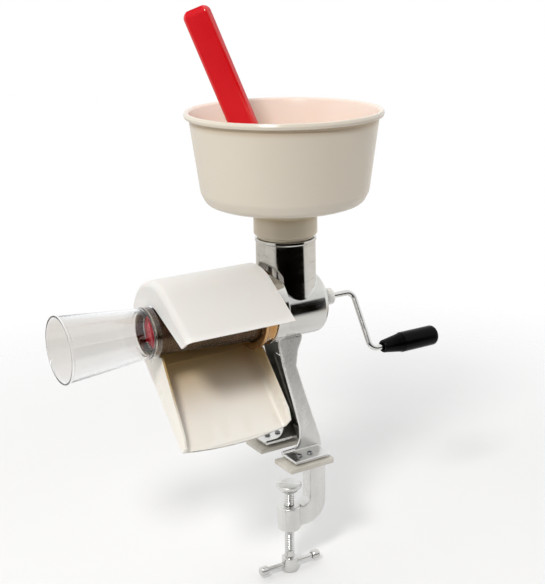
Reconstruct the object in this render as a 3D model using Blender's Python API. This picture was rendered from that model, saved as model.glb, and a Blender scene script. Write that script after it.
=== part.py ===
"""Hand-cranked table-clamp food strainer, as an assembly of separate pieces.

The barrel lies along X: the waste end is at -X and the crank at +X. Sauce runs off the chute
towards -Y. The origin is on the table top, straight below the feed tube. Lengths are written in
millimetres and turned into metres as each mesh is made. Most pieces are drawn around the barrel
axis, which is AXIS_Z above the table.
"""
import math

import bmesh
import bpy
from mathutils import Matrix, Vector

MM = 0.001                 # metres in a millimetre
GAP = 0.3                  # running clearance between neighbouring pieces
AXIS_Z = 181.0             # height of the barrel axis above the table top

# feed tube and barrel (one aluminium casting)
TUBE_R = 33.0
TUBE_BORE_R = 29.6
TUBE_TOP = 79.0
TUBE_LIP = 3.5
BARREL_R = 36.0
BARREL_BORE_R = 32.4
MOUTH_X = -43.0
BACK_X = 36.0
BACK_WALL = 6.0
BOSS_R = 12.0
BOSS_END_X = 46.0
FLANGE_R = 41.5
FLANGE_RISE = 3.5          # the mouth flange is set off centre, so that it stands taller on top
FLANGE_X = (-34.0, -20.0)
LUG_X = -39.0              # bayonet lugs that hold the screen collar

# leg, feet and clamp frame (same casting)
LEG_HALF = 20.0            # half the leg's width along Y
LEG_WALL = 4.5
FOOT_X = (-20.0, 28.0)
FOOT_Y = (20.0, 47.0)
FOOT_TOP = 11.6            # height of a foot plate above the table
FOOT_PLATE = 3.2
SCREW_X = 7.0              # the foot screws stand this far each side of the tube axis
SCREW_Y = 34.6
PAD_X = (-28.0, 31.0)
PAD_Y = (14.5, 50.0)
PAD_SLAB = 5.5
CLAMP_ARM_TOP = -69.0
CLAMP_ARM_BOTTOM = -93.0
SPINE_X = (25.0, 46.0)

# screen, collar and auger
COLLAR_X = (-51.0, -34.4)
COLLAR_R = 41.5
SCREEN_X = (-173.0, -46.0)
SCREEN_R = (25.8, 32.2)    # outer radius at the waste end and at the barrel
SCREEN_WALL = 1.0
AUGER_X = (-170.0, 14.0)
AUGER_CORE_R = 10.0
AUGER_PITCH = 42.0
AUGER_FLIGHT = 4.5
END_RING_R = 27.6

# crank
ROD_R = 3.25
CRANK_X = 90.0             # plane that the crank arm swings in
CRANK_DY = -37.6           # grip axis from the barrel axis, at rest
CRANK_DZ = -59.5
BEND_R = 9.0
ROD_BORE_R = 3.6
BUSH_R = 9.4
BUSH_END_X = 60.0
GRIP_X = (106.0, 183.0)
GRIP_R = 11.8
GRIP_NOSE_R = 7.5

# hopper and pusher
RIM_R = 107.0
RIM_Z = 217.5
NECK_R = 35.0
NECK_Z = 83.5
SPIGOT_R = 29.2
SPIGOT_Z = 66.0
NECK_BORE_R = 27.6
PUSHER_FOOT = (7.2, -4.3, 68.0)      # centre of the pusher's lower end, from the barrel axis
PUSHER_LEAN = math.radians(20.5)
PUSHER_HEADING = math.radians(149.0)
PUSHER_SIZE = (32.5, 13.0, 273.0)

# splatter shield and chute
SHIELD_X = (-165.5, -38.5)
SHIELD_R = 53.5
SHIELD_WALL = 2.0
SHIELD_END = 2.4
SHIELD_REAR_ANGLE = math.radians(16.0)
FLAP_SLOPE = math.radians(34.5)
FLAP_EDGE_Y = -79.5
SHIELD_NOTCH_R = 27.4
SHIELD_TAB = (-65.0, 0.0)
CHUTE_SLOPE = math.radians(44.0)
CHUTE_X = (-162.0, -33.8)
CHUTE_WALL = 2.2
CHUTE_LENGTH = 112.0
HOOK_R = (35.4, 37.8)       # the strap that hangs the chute over the screen
HOOK_X = (-128.0, -78.0)

# waste funnel
FUNNEL_MOUTH_X = -270.0
FUNNEL_MOUTH_R = 35.6
FUNNEL_WALL = 1.6

# clamp screw
CLAMP_GAP = 38.0           # table thickness that the clamp is closed on
CUP_HEIGHT = 9.0
CUP_R = 15.0
CLAMP_SCREW_R = 5.8
CLAMP_HEAD_R = 9.5
CLAMP_HEAD = 17.0
TBAR_R = 3.0
TBAR_LENGTH = 78.0

COLOURS = {
    "cream_plastic": ((0.82, 0.76, 0.64, 1), 0.30, 0.0),
    "red_plastic": ((0.62, 0.015, 0.02, 1), 0.22, 0.0),
    "cast_aluminium": ((0.78, 0.78, 0.78, 1), 0.24, 1.0),
    "stainless": ((0.70, 0.69, 0.67, 1), 0.20, 1.0),
    "bright_steel": ((0.75, 0.75, 0.76, 1), 0.14, 1.0),
    "dark_steel": ((0.05, 0.05, 0.055, 1), 0.40, 1.0),
    "clear_plastic": ((0.95, 0.96, 0.97, 1), 0.05, 0.0),
    "black_plastic": ((0.012, 0.012, 0.013, 1), 0.25, 0.0),
    "white_nylon": ((0.85, 0.85, 0.83, 1), 0.40, 0.0),
    "pale_rubber": ((0.60, 0.57, 0.50, 1), 0.70, 0.0),
    "grey_rubber": ((0.10, 0.10, 0.10, 1), 0.80, 0.0),
}


def material(name):
    found = bpy.data.materials.get(name)
    if found:
        return found
    colour, roughness, metallic = COLOURS[name]
    made = bpy.data.materials.new(name)
    made.use_nodes = True
    shader = made.node_tree.nodes["Principled BSDF"]
    shader.inputs["Base Color"].default_value = colour
    shader.inputs["Roughness"].default_value = roughness
    shader.inputs["Metallic"].default_value = metallic
    if name == "clear_plastic":
        shader.inputs["Alpha"].default_value = 0.3
    return made


def finish(bm, name, look, location=(0, 0, 0), parent=None):
    """Turn a bmesh drawn in millimetres into a named object in metres, faces outwards."""
    bmesh.ops.remove_doubles(bm, verts=bm.verts, dist=0.001)
    bmesh.ops.recalc_face_normals(bm, faces=bm.faces)
    bmesh.ops.scale(bm, vec=(MM, MM, MM), verts=bm.verts)
    mesh = bpy.data.meshes.new(name)
    bm.to_mesh(mesh)
    bm.free()
    mesh.shade_smooth()
    mesh.set_sharp_from_angle(angle=math.radians(32))
    mesh.materials.append(material(look))
    obj = bpy.data.objects.new(name, mesh)
    bpy.context.scene.collection.objects.link(obj)
    obj.location = Vector(location) * MM
    obj.parent = parent
    return obj


def empty(name, location, parent=None):
    obj = bpy.data.objects.new(name, None)
    obj.empty_display_size = 0.02
    obj.location = Vector(location) * MM
    obj.parent = parent
    bpy.context.scene.collection.objects.link(obj)
    return obj


def turned_bmesh(profile, axis="X", segments=32, centre=(0, 0, 0)):
    """A solid of revolution. The profile is a loop of (radius, height along the axis)."""
    bm = bmesh.new()
    corners = [bm.verts.new((radius, 0, height)) for radius, height in profile]
    count = len(corners)
    edges = [bm.edges.new((corners[i], corners[(i + 1) % count])) for i in range(count)
             if not (profile[i][0] == 0 and profile[(i + 1) % count][0] == 0)]
    bmesh.ops.spin(bm, geom=corners + edges, cent=(0, 0, 0), axis=(0, 0, 1),
                   angle=2 * math.pi, steps=segments, use_merge=True)
    bmesh.ops.remove_doubles(bm, verts=bm.verts, dist=0.0005)
    if axis == "X":
        turn = Matrix.Rotation(math.radians(90), 4, "Y")
        bmesh.ops.transform(bm, matrix=turn, verts=bm.verts)
    bmesh.ops.translate(bm, vec=centre, verts=bm.verts)
    return bm


def turned(name, look, profile, axis="X", segments=32, centre=(0, 0, 0), **place):
    return finish(turned_bmesh(profile, axis, segments, centre), name, look, **place)


def ring(inner, outer, low, high):
    """Profile of a plain ring."""
    return [(inner, low), (outer, low), (outer, high), (inner, high)]


def rod_profile(radius, low, high, chamfer=0.0):
    """Profile of a plain or chamfered pin."""
    if not chamfer:
        return [(0, low), (radius, low), (radius, high), (0, high)]
    return [(0, low), (radius - chamfer, low), (radius, low + chamfer),
            (radius, high - chamfer), (radius - chamfer, high), (0, high)]


def extruded_bmesh(outline, plane, low, high):
    """A prism. plane "XZ" is extruded along Y, "YZ" along X and "XY" along Z."""
    def place(point, depth):
        if plane == "XZ":
            return (point[0], depth, point[1])
        if plane == "YZ":
            return (depth, point[0], point[1])
        return (point[0], point[1], depth)
    bm = bmesh.new()
    face = bm.faces.new([bm.verts.new(place(point, low)) for point in outline])
    grown = bmesh.ops.extrude_face_region(bm, geom=[face])
    fresh = [item for item in grown["geom"] if isinstance(item, bmesh.types.BMVert)]
    shift = Vector(place((0, 0), high)) - Vector(place((0, 0), low))
    bmesh.ops.translate(bm, vec=shift, verts=fresh)
    bmesh.ops.recalc_face_normals(bm, faces=bm.faces)
    return bm


def extruded(name, look, outline, plane, low, high, **place):
    return finish(extruded_bmesh(outline, plane, low, high), name, look, **place)


def arc(centre, radius, start, end, steps):
    """Points on an arc, angles in degrees."""
    points = []
    for i in range(steps + 1):
        angle = math.radians(start + (end - start) * i / steps)
        points.append((centre[0] + radius * math.cos(angle), centre[1] + radius * math.sin(angle)))
    return points


def swept_bmesh(points, radius, sides):
    """A round wire along a row of points, with flat ends and no twist."""
    bm = bmesh.new()
    rows = []
    across = None
    for i, point in enumerate(points):
        before = points[max(i - 1, 0)]
        after = points[min(i + 1, len(points) - 1)]
        ahead = (after - point).normalized() + (point - before).normalized()
        tangent = ahead.normalized()
        if across is None:
            across = tangent.orthogonal().normalized()
        across = (across - tangent * across.dot(tangent)).normalized()
        third = tangent.cross(across)
        row = []
        for j in range(sides):
            around = 2 * math.pi * j / sides
            row.append(bm.verts.new(point + across * radius * math.cos(around)
                                    + third * radius * math.sin(around)))
        rows.append(row)
    for first, second in zip(rows, rows[1:]):
        for j in range(sides):
            k = (j + 1) % sides
            bm.faces.new((first[j], first[k], second[k], second[j]))
    bm.faces.new(rows[0])
    bm.faces.new(reversed(rows[-1]))
    return bm


def combine(base, helper, operation):
    """Join or cut with a hidden helper object, by an exact Boolean."""
    helper.hide_render = True
    helper.display_type = "WIRE"
    modifier = base.modifiers.new(helper.name, "BOOLEAN")
    modifier.operation = operation
    modifier.solver = "EXACT"
    modifier.object = helper


def add(base, helper):
    combine(base, helper, "UNION")


def cut(base, helper):
    combine(base, helper, "DIFFERENCE")


def casting(barrel):
    """Feed tube, barrel, leg, feet and clamp frame: one aluminium casting."""
    look = "cast_aluminium"
    round_back = arc((BARREL_R - 7, BACK_X - 7), 7, 0, 90, 4)
    profile = [(0, MOUTH_X), (BARREL_R - 0.8, MOUTH_X), (BARREL_R, MOUTH_X + 0.8)]
    profile += round_back
    profile += [(BOSS_R, BACK_X), (BOSS_R, BOSS_END_X - 1), (BOSS_R - 1, BOSS_END_X), (0, BOSS_END_X)]
    body = turned("body_casting", look, profile, segments=36, parent=barrel)

    flange = [(0, FLANGE_X[0]), (FLANGE_R - 1, FLANGE_X[0]), (FLANGE_R, FLANGE_X[0] + 1),
              (FLANGE_R, FLANGE_X[1] - 1), (FLANGE_R - 1, FLANGE_X[1]), (0, FLANGE_X[1])]
    add(body, turned("flange_helper", look, flange, segments=36, centre=(0, 0, FLANGE_RISE),
                     parent=barrel))
    tube = [(0, 2), (TUBE_R, 2), (TUBE_R, TUBE_TOP - TUBE_LIP), (TUBE_R + 0.9, TUBE_TOP - TUBE_LIP + 1),
            (TUBE_R + 0.9, TUBE_TOP - 1), (TUBE_R, TUBE_TOP), (0, TUBE_TOP)]
    add(body, turned("tube_helper", look, tube, axis="Z", segments=36, parent=barrel))
    for side in (-1, 1):
        lug = turned_bmesh(rod_profile(2.0, 33.5, 38.0), axis="Z", segments=12)
        bmesh.ops.transform(lug, matrix=Matrix.Rotation(math.radians(135), 4, "X"), verts=lug.verts)
        if side > 0:
            bmesh.ops.transform(lug, matrix=Matrix.Rotation(math.pi, 4, "X"), verts=lug.verts)
        bmesh.ops.translate(lug, vec=(LUG_X, 0, 0), verts=lug.verts)
        add(body, finish(lug, "lug_helper", look, parent=barrel))

    for helper in leg_helpers(look, barrel):
        add(body, helper)
    cut(body, turned("barrel_bore", look, rod_profile(BARREL_BORE_R, MOUTH_X - 1, BACK_X - BACK_WALL),
                     segments=36, parent=barrel))
    cut(body, turned("tube_bore", look, rod_profile(TUBE_BORE_R, 8, TUBE_TOP + 1), axis="Z",
                     segments=36, parent=barrel))
    cut(body, turned("boss_bore", look, rod_profile(8.0, BACK_X - BACK_WALL - 1, BOSS_END_X + 1),
                     segments=24, parent=barrel))
    for x in (-SCREW_X, SCREW_X):
        for y in (-SCREW_Y, SCREW_Y):
            cut(body, turned("foot_hole", look, rod_profile(2.3, -4, 6), axis="Z", segments=12,
                             centre=(x, y, FOOT_TOP - AXIS_Z), parent=barrel))
    cut(body, turned("clamp_thread", look,
                     rod_profile(CLAMP_SCREW_R + GAP, CLAMP_ARM_BOTTOM - 8, CLAMP_ARM_TOP + 8),
                     axis="Z", segments=24, centre=(0, 0, -AXIS_Z), parent=barrel))
    return body


def leg_helpers(look, barrel):
    """The leg is a channel that opens towards -X; below the table it turns into a C-arm."""
    sole = FOOT_TOP - AXIS_Z - FOOT_PLATE
    arm_top = CLAMP_ARM_TOP - AXIS_Z
    arm_bottom = CLAMP_ARM_BOTTOM - AXIS_Z
    front = [(-23.0, -26.0), (-22.0, -40.0), (-17.0, -64.0), (-4.0, -112.0), (4.0, -143.0)]
    toe = [(-6.0 + 10 * math.cos(a), -155.0 + 12 * math.sin(a))
           for a in (math.radians(d) for d in (0, -22, -45, -68, -90))]
    back = [(34.0, sole), (32.0, -160.0), (14.0, -108.0), (0.5, -66.0), (3.0, -48.0), (9.0, -36.0),
            (9.5, -26.0)]
    flank = front + toe + [(FOOT_X[0], -167.2), (FOOT_X[0], sole)] + back
    web = [(-7.0, -60.0), (9.0, -112.0), (25.0, -160.0), (27.0, sole)] + back[:4]
    helpers = []
    for side in (-1, 1):
        y = sorted((side * LEG_HALF, side * (LEG_HALF - LEG_WALL)))
        helpers.append(extruded("flank_helper", look, flank, "XZ", y[0], y[1], parent=barrel))
        plate = sorted((side * FOOT_Y[0] - side, side * FOOT_Y[1]))
        corner = 4.0
        outline = [(FOOT_X[0], plate[0]), (FOOT_X[1], plate[0]), (FOOT_X[1], plate[1] - corner),
                   (FOOT_X[1] - corner, plate[1]), (FOOT_X[0] + corner, plate[1]),
                   (FOOT_X[0], plate[1] - corner)]
        if side < 0:
            outline = [(FOOT_X[0], plate[1]), (FOOT_X[0], plate[0] + corner),
                       (FOOT_X[0] + corner, plate[0]), (FOOT_X[1] - corner, plate[0]),
                       (FOOT_X[1], plate[0] + corner), (FOOT_X[1], plate[1])]
        helpers.append(extruded("foot_helper", look, outline, "XY", sole, sole + FOOT_PLATE,
                                parent=barrel))
    inner = LEG_HALF - LEG_WALL + 0.5
    helpers.append(extruded("web_helper", look, web, "XZ", -inner, inner, parent=barrel))
    spine = [(12.0, -150.0), (SPINE_X[0] - 2, -186.0), (SPINE_X[0], -200.0), (SPINE_X[0], arm_top + 10)]
    spine += arc((SPINE_X[0] - 10, arm_top + 10), 10, 0, -90, 4)[1:]
    spine += [(-12.0, arm_top), (-12.0, arm_bottom + 5), (-7.0, arm_bottom)]
    spine += arc((SPINE_X[1] - 26, arm_bottom + 26), 26, -90, 0, 5)
    spine += [(SPINE_X[1], -205.0), (42.0, -186.0), (27.0, -146.0)]
    helpers.append(extruded("spine_helper", look, spine, "XZ", -9.0, 9.0, parent=barrel))
    boss = [(0, arm_bottom - 3), (12.0, arm_bottom - 3), (13.5, arm_bottom - 1.5), (13.5, arm_top + 1.5),
            (12.0, arm_top + 3), (0, arm_top + 3)]
    helpers.append(turned("clamp_boss", look, boss, axis="Z", segments=28, parent=barrel))
    return helpers


def feet(table):
    """Two pale pads under the feet, each held by two dark screws."""
    slot_top = FOOT_TOP - FOOT_PLATE - GAP
    for side, name in ((-1, "front"), (1, "rear")):
        y = sorted((side * PAD_Y[0], side * PAD_Y[1]))
        low = [(PAD_X[0] + 3, y[0]), (PAD_X[1] - 3, y[0]), (PAD_X[1], y[0] + 3), (PAD_X[1], y[1] - 3),
               (PAD_X[1] - 3, y[1]), (PAD_X[0] + 3, y[1]), (PAD_X[0], y[1] - 3), (PAD_X[0], y[0] + 3)]
        pad = extruded("foot_pad_" + name, "pale_rubber", low, "XY", 0, PAD_SLAB, parent=table)
        step_y = sorted((side * (FOOT_Y[0] + 3), side * (FOOT_Y[1] - 3)))
        step = [(FOOT_X[0] + 4, step_y[0]), (FOOT_X[1] - 4, step_y[0]),
                (FOOT_X[1] - 4, step_y[1]), (FOOT_X[0] + 4, step_y[1])]
        add(pad, extruded("pad_step", "pale_rubber", step, "XY", PAD_SLAB - 1, slot_top, parent=table))
        for number, x in enumerate((-SCREW_X, SCREW_X), 1):
            centre = (x, side * SCREW_Y, 0)
            cut(pad, turned("pad_hole", "pale_rubber", rod_profile(2.1, 2.5, slot_top + 1), axis="Z",
                            segments=12, centre=centre, parent=table))
            shape = [(0, 3.2), (1.8, 3.2), (1.8, FOOT_TOP + GAP), (3.3, FOOT_TOP + GAP),
                     (3.3, FOOT_TOP + 1.3), (2.4, FOOT_TOP + 2.2), (0, FOOT_TOP + 2.2)]
            turned(f"foot_screw_{name}_{number}", "dark_steel", shape, axis="Z", segments=12,
                   centre=centre, parent=table)


def bushing(barrel):
    shape = [(ROD_BORE_R, BACK_X - BACK_WALL + 0.4), (7.7, BACK_X - BACK_WALL + 0.4),
             (7.7, BOSS_END_X + GAP), (BUSH_R, BOSS_END_X + GAP), (BUSH_R, BUSH_END_X - 1.2),
             (BUSH_R - 1.2, BUSH_END_X), (ROD_BORE_R, BUSH_END_X)]
    turned("rear_bushing", "white_nylon", shape, segments=24, parent=barrel)


def screen_collar(barrel):
    """Quarter-turn collar: its two L-shaped slots take the lugs on the barrel's mouth."""
    skirt = BARREL_R + 0.5
    front, rear = COLLAR_X
    seat = SCREEN_X[1] - 2.1
    lip = SCREEN_R[1] + 0.8
    shape = [(lip, front), (COLLAR_R - 1, front), (COLLAR_R, front + 1), (COLLAR_R, front + 3),
             (38.6, front + 9), (38.6, rear - 0.8), (37.9, rear), (skirt, rear), (skirt, seat),
             (lip, seat)]
    collar = turned("screen_collar", "stainless", shape, segments=36, parent=barrel)
    for turn in (0.0, math.pi):
        for start, end, far in ((128, 172, LUG_X + 2.6), (160, 172, rear + 1)):
            outline = arc((0, 0), 34.5, start, end, 6) + arc((0, 0), 44.0, end, start, 6)
            slot = extruded_bmesh(outline, "YZ", LUG_X - 2.6, far)
            swing = math.radians(90) + turn
            bmesh.ops.transform(slot, matrix=Matrix.Rotation(swing, 4, "X"), verts=slot.verts)
            cut(collar, finish(slot, "collar_slot", "stainless", parent=barrel))


def screen(barrel):
    """Tapered strainer screen with a rear flange, its seal and its waste-end ring."""
    small, large = SCREEN_R
    left, right = SCREEN_X
    wall = SCREEN_WALL
    shape = [(small, left), (large, right - 3.4), (large, right - 1.8), (35.6, right - 1.2),
             (35.6, right), (large - wall, right), (large - wall, right - 3.4), (small - wall, left)]
    turned("strainer_screen", "stainless", shape, segments=36, parent=barrel)
    turned("screen_seal", "grey_rubber", ring(BARREL_BORE_R + 0.2, 35.2, right + GAP, MOUTH_X - GAP),
           segments=28, parent=barrel)
    lip = [(small + 0.55, -174.6), (END_RING_R - 0.5, -174.6), (END_RING_R, -174.1),
           (END_RING_R, -167.5), (END_RING_R - 0.4, -167.0), (small + 0.65, -167.0)]
    turned("screen_end_ring", "stainless", lip, segments=32, parent=barrel)


def auger(crank):
    """Red feed screw: a tapered core with one helical flight, bored for the crank rod."""
    left, right = AUGER_X
    core = [(0, left), (AUGER_CORE_R - 2, left), (AUGER_CORE_R, left + 2), (AUGER_CORE_R, -60.0),
            (14.0, -20.0), (15.0, right - 2), (13.0, right), (0, right)]
    body = turned("auger", "red_plastic", core, segments=24, parent=crank)
    cut(body, turned("auger_socket", "red_plastic", rod_profile(ROD_BORE_R, -12.0, right + 1),
                     segments=16, parent=crank))
    start, end = left + 4.0, right - 8.0
    per_turn = 18
    steps = round((end - start) / AUGER_PITCH * per_turn)
    bm = bmesh.new()
    rows = []
    for i in range(steps + 1):
        x = start + (end - start) * i / steps
        angle = 2 * math.pi * (i + 0.125) / per_turn    # off the core's own edges
        share = (x - SCREEN_X[0]) / (SCREEN_X[1] - SCREEN_X[0])
        room = SCREEN_R[0] + (SCREEN_R[1] - SCREEN_R[0]) * min(share, 1.0) - SCREEN_WALL
        tip = room - 1.0
        row = []
        for radius, offset in ((8.0, -0.7), (tip, -0.42), (tip, 0.42), (8.0, 0.7)):
            row.append(bm.verts.new((x + offset * AUGER_FLIGHT, radius * math.cos(angle),
                                     radius * math.sin(angle))))
        rows.append(row)
    for first, second in zip(rows, rows[1:]):
        for j in range(4):
            k = (j + 1) % 4
            bm.faces.new((first[j], first[k], second[k], second[j]))
    bm.faces.new(rows[0])
    bm.faces.new(reversed(rows[-1]))
    add(body, finish(bm, "flight_helper", "red_plastic", parent=crank))


def spring(crank):
    """Coil spring between the auger and the barrel's back wall, with its washer."""
    wire, mean, turns, per_turn = 0.9, 9.0, 4, 12
    low, high = AUGER_X[1] + 0.4 + wire, BACK_X - BACK_WALL - 2.4 - wire
    steps = turns * per_turn
    coil = []
    for i in range(steps + 1):
        angle = 2 * math.pi * i / per_turn
        coil.append(Vector((low + (high - low) * i / steps, mean * math.cos(angle),
                            mean * math.sin(angle))))
    finish(swept_bmesh(coil, wire, 5), "auger_spring", "bright_steel", parent=crank)
    turned("thrust_washer", "white_nylon",
           ring(ROD_BORE_R, 13.0, BACK_X - BACK_WALL - 1.9, BACK_X - BACK_WALL - 0.4),
           segments=20, parent=crank)


def bent_path(corners, radius, steps):
    """Points along straight runs joined by round bends."""
    points = [corners[0]]
    for before, corner, after in zip(corners, corners[1:], corners[2:]):
        back = (before - corner).normalized()
        ahead = (after - corner).normalized()
        half = back.angle(ahead) / 2
        reach = radius / math.tan(half)
        centre = corner + (back + ahead).normalized() * radius / math.sin(half)
        begin = (corner + back * reach - centre).normalized()
        leave = (corner + ahead * reach - centre).normalized()
        for i in range(steps + 1):
            points.append(centre + begin.slerp(leave, i / steps) * radius)
    points.append(corners[-1])
    return points


def crank_rod(crank):
    """One bright rod: shaft, arm and grip pin, with the clip that stops it sliding in."""
    corners = [Vector((-10.0, 0, 0)), Vector((CRANK_X, 0, 0)), Vector((CRANK_X, CRANK_DY, CRANK_DZ)),
               Vector((GRIP_X[1] - 9, CRANK_DY, CRANK_DZ))]
    finish(swept_bmesh(bent_path(corners, BEND_R, 6), ROD_R, 12), "crank_rod", "bright_steel",
           parent=crank)
    turned("crank_clip", "dark_steel", ring(ROD_BORE_R, 5.6, BUSH_END_X + 0.4, BUSH_END_X + 2.2),
           segments=16, parent=crank)


def grip(crank):
    """Black grip that spins on the crank pin, with the nut and plug that keep it there."""
    axle = empty("grip_axis", (0, CRANK_DY, CRANK_DZ), crank)
    nose, end = GRIP_X
    seat = end - 14.0
    shape = [(ROD_BORE_R, nose), (GRIP_NOSE_R - 1.2, nose), (GRIP_NOSE_R, nose + 1.4),
             (GRIP_R - 0.9, nose + 24), (GRIP_R, nose + 26)]
    shape += [(GRIP_R, end - 6.5)]
    shape += arc((GRIP_R - 5.5, end - 6.3), 5.5, 15, 62, 3)
    shape += [(6.6, end - 1.2), (6.6, seat), (ROD_BORE_R, seat)]
    turned("crank_grip", "black_plastic", shape, segments=24, parent=axle)
    nut = ring(ROD_BORE_R - 0.2, 5.9, seat + 0.5, seat + 2.0)
    turned("grip_push_nut", "bright_steel", nut, segments=20, parent=axle)
    plug = [(0, seat + 5.6), (6.2, seat + 5.6), (6.2, end - 1.2), (4.2, end - 0.3), (0, end)]
    turned("grip_end_plug", "black_plastic", plug, segments=24, parent=axle)


def hopper(barrel):
    """Bowl with a rolled rim, and a neck whose spigot drops into the feed tube."""
    outer = [(SPIGOT_R - 0.8, SPIGOT_Z), (SPIGOT_R, SPIGOT_Z + 0.8), (SPIGOT_R, TUBE_TOP + GAP),
             (31.6, TUBE_TOP + GAP), (31.6, NECK_Z), (NECK_R - 0.6, NECK_Z), (NECK_R, NECK_Z + 0.6),
             (NECK_R, 105.0), (38.5, 110.0), (76.0, 116.2), (85.0, 120.4), (91.2, 130.0),
             (101.4, 207.0), (102.6, 210.2), (106.0, 211.2), (RIM_R, 214.4), (105.6, RIM_Z),
             (103.2, RIM_Z), (101.4, 215.4)]
    inner = [(98.9, 207.0), (88.6, 130.4), (82.8, 122.4), (74.0, 118.8), (38.0, 112.8),
             (29.4, 109.0), (NECK_BORE_R, 102.0), (NECK_BORE_R, SPIGOT_Z)]
    lift = empty("hopper_axis", (0, 0, 0), barrel)
    turned("hopper", "cream_plastic", outer + inner, axis="Z", segments=44, parent=lift)
    return lift


def rounded_bar(width, thick, length, edge, steps):
    """A bar along +Z from the origin, with rounded long edges and rounded far corners."""
    quarter = []
    for start, cx, cy in ((0, 1, 1), (90, -1, 1), (180, -1, -1), (270, 1, -1)):
        centre = (cx * (width / 2 - edge), cy * (thick / 2 - edge))
        quarter += arc(centre, edge, start, start + 90, steps)
    bm = bmesh.new()
    levels = [(0.0, 1.5), (1.5, 0.0), (length - 8, 0.0)]
    levels += [(length - 8 + 8 * math.sin(math.radians(d)), 8 * (1 - math.cos(math.radians(d))))
               for d in (30, 55, 75)]
    rings = []
    for height, inset in levels:
        row = []
        for x, y in quarter:
            squash = min(inset, thick / 2 - 2.6)
            row.append(bm.verts.new((x * (1 - 2 * inset / width), y * (1 - 2 * squash / thick),
                                     height)))
        rings.append(row)
    count = len(quarter)
    for low, high in zip(rings, rings[1:]):
        for i in range(count):
            j = (i + 1) % count
            bm.faces.new((low[i], low[j], high[j], high[i]))
    bm.faces.new(reversed(rings[0]))
    bm.faces.new(rings[-1])
    return bm


def pusher(lift):
    """Red flat bar that stands in the neck and leans against its edge."""
    width, thick, length = PUSHER_SIZE
    bar = finish(rounded_bar(width, thick, length, 4.5, 4), "pusher", "red_plastic",
                 location=PUSHER_FOOT, parent=lift)
    bar.rotation_euler = (0, PUSHER_LEAN, PUSHER_HEADING)


def funnel(barrel):
    """Clear waste funnel pushed over the screen's end ring."""
    sleeve = END_RING_R + 0.5
    wall = FUNNEL_WALL
    near, step, mouth = -167.2, -177.0, FUNNEL_MOUTH_X
    outer = [(sleeve + wall, near), (sleeve + wall, step + 1), (sleeve + wall - 1.0, step - 1),
             (FUNNEL_MOUTH_R - 0.5, mouth + 2), (FUNNEL_MOUTH_R, mouth + 0.8), (FUNNEL_MOUTH_R, mouth)]
    inner = [(FUNNEL_MOUTH_R - wall, mouth), (FUNNEL_MOUTH_R - wall - 0.4, mouth + 2),
             (sleeve - 2.2, step - 1), (sleeve - 2.2, step + 1.6), (sleeve, step + 1.6), (sleeve, near)]
    turned("waste_funnel", "clear_plastic", outer + inner, segments=36, parent=barrel)


def shield_path(offset):
    """The shield's section, from its rear edge over the top to the tangent flap."""
    radius = SHIELD_R - offset
    last = math.pi / 2 + FLAP_SLOPE
    points = []
    steps = 14
    for i in range(steps + 1):
        angle = SHIELD_REAR_ANGLE + (last - SHIELD_REAR_ANGLE) * i / steps
        points.append((radius * math.cos(angle), radius * math.sin(angle)))
    return points


def shield(barrel):
    """Splatter shield: arch, front flap and a cut-out end wall that sits over the screen."""
    outer = shield_path(0)
    inner = shield_path(SHIELD_WALL)
    drop = math.tan(FLAP_SLOPE)
    edge = (FLAP_EDGE_Y, outer[-1][1] + (FLAP_EDGE_Y - outer[-1][0]) * drop)
    tab = Vector(SHIELD_TAB)
    inward = (tab - Vector(edge)).normalized()
    edge_in = Vector(edge) + inward * SHIELD_WALL
    middle = [((outer[-1][0] * (1 - t) + edge[0] * t), (outer[-1][1] * (1 - t) + edge[1] * t))
              for t in (0.33, 0.66)]
    middle_in = [((inner[-1][0] * (1 - t) + edge_in[0] * t), (inner[-1][1] * (1 - t) + edge_in[1] * t))
                 for t in (0.33, 0.66)]
    outer += middle + [edge]
    inner += middle_in + [tuple(edge_in)]
    tangent = math.pi - math.acos(SHIELD_NOTCH_R / -tab.x)
    touch = Vector((math.cos(tangent), math.sin(tangent))) * SHIELD_NOTCH_R
    notch = []
    for i in range(15):
        angle = min(SHIELD_REAR_ANGLE + (math.pi / 2 + FLAP_SLOPE - SHIELD_REAR_ANGLE) * i / 14,
                    tangent)
        notch.append((SHIELD_NOTCH_R * math.cos(angle), SHIELD_NOTCH_R * math.sin(angle)))
    notch[-1] = tuple(touch.lerp(tab, 0.12))
    notch += [tuple(touch.lerp(tab, t)) for t in (0.40, 0.70)] + [tuple(tab)]
    left, right = SHIELD_X
    bm = bmesh.new()

    def row(x, points):
        return [bm.verts.new((x, y, z)) for y, z in points]

    loops = [row(left, outer), row(right, outer), row(right, inner), row(left + SHIELD_END, inner),
             row(left + SHIELD_END, notch), row(left, notch)]
    for first, second in zip(loops, loops[1:] + loops[:1]):
        for i in range(len(outer) - 1):
            bm.faces.new((first[i], first[i + 1], second[i + 1], second[i]))
    bm.faces.new([loop[0] for loop in loops])
    bm.faces.new([loop[-1] for loop in reversed(loops)])
    finish(bm, "splatter_shield", "cream_plastic", parent=barrel)


def chute_point(along, up):
    """A (y, z) point from the front lip: along the floor uphill, and square up from it."""
    lip = (-53.5, -124.0)
    c, s = math.cos(CHUTE_SLOPE), math.sin(CHUTE_SLOPE)
    return (lip[0] + along * c - up * s, lip[1] + along * s + up * c)


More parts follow.
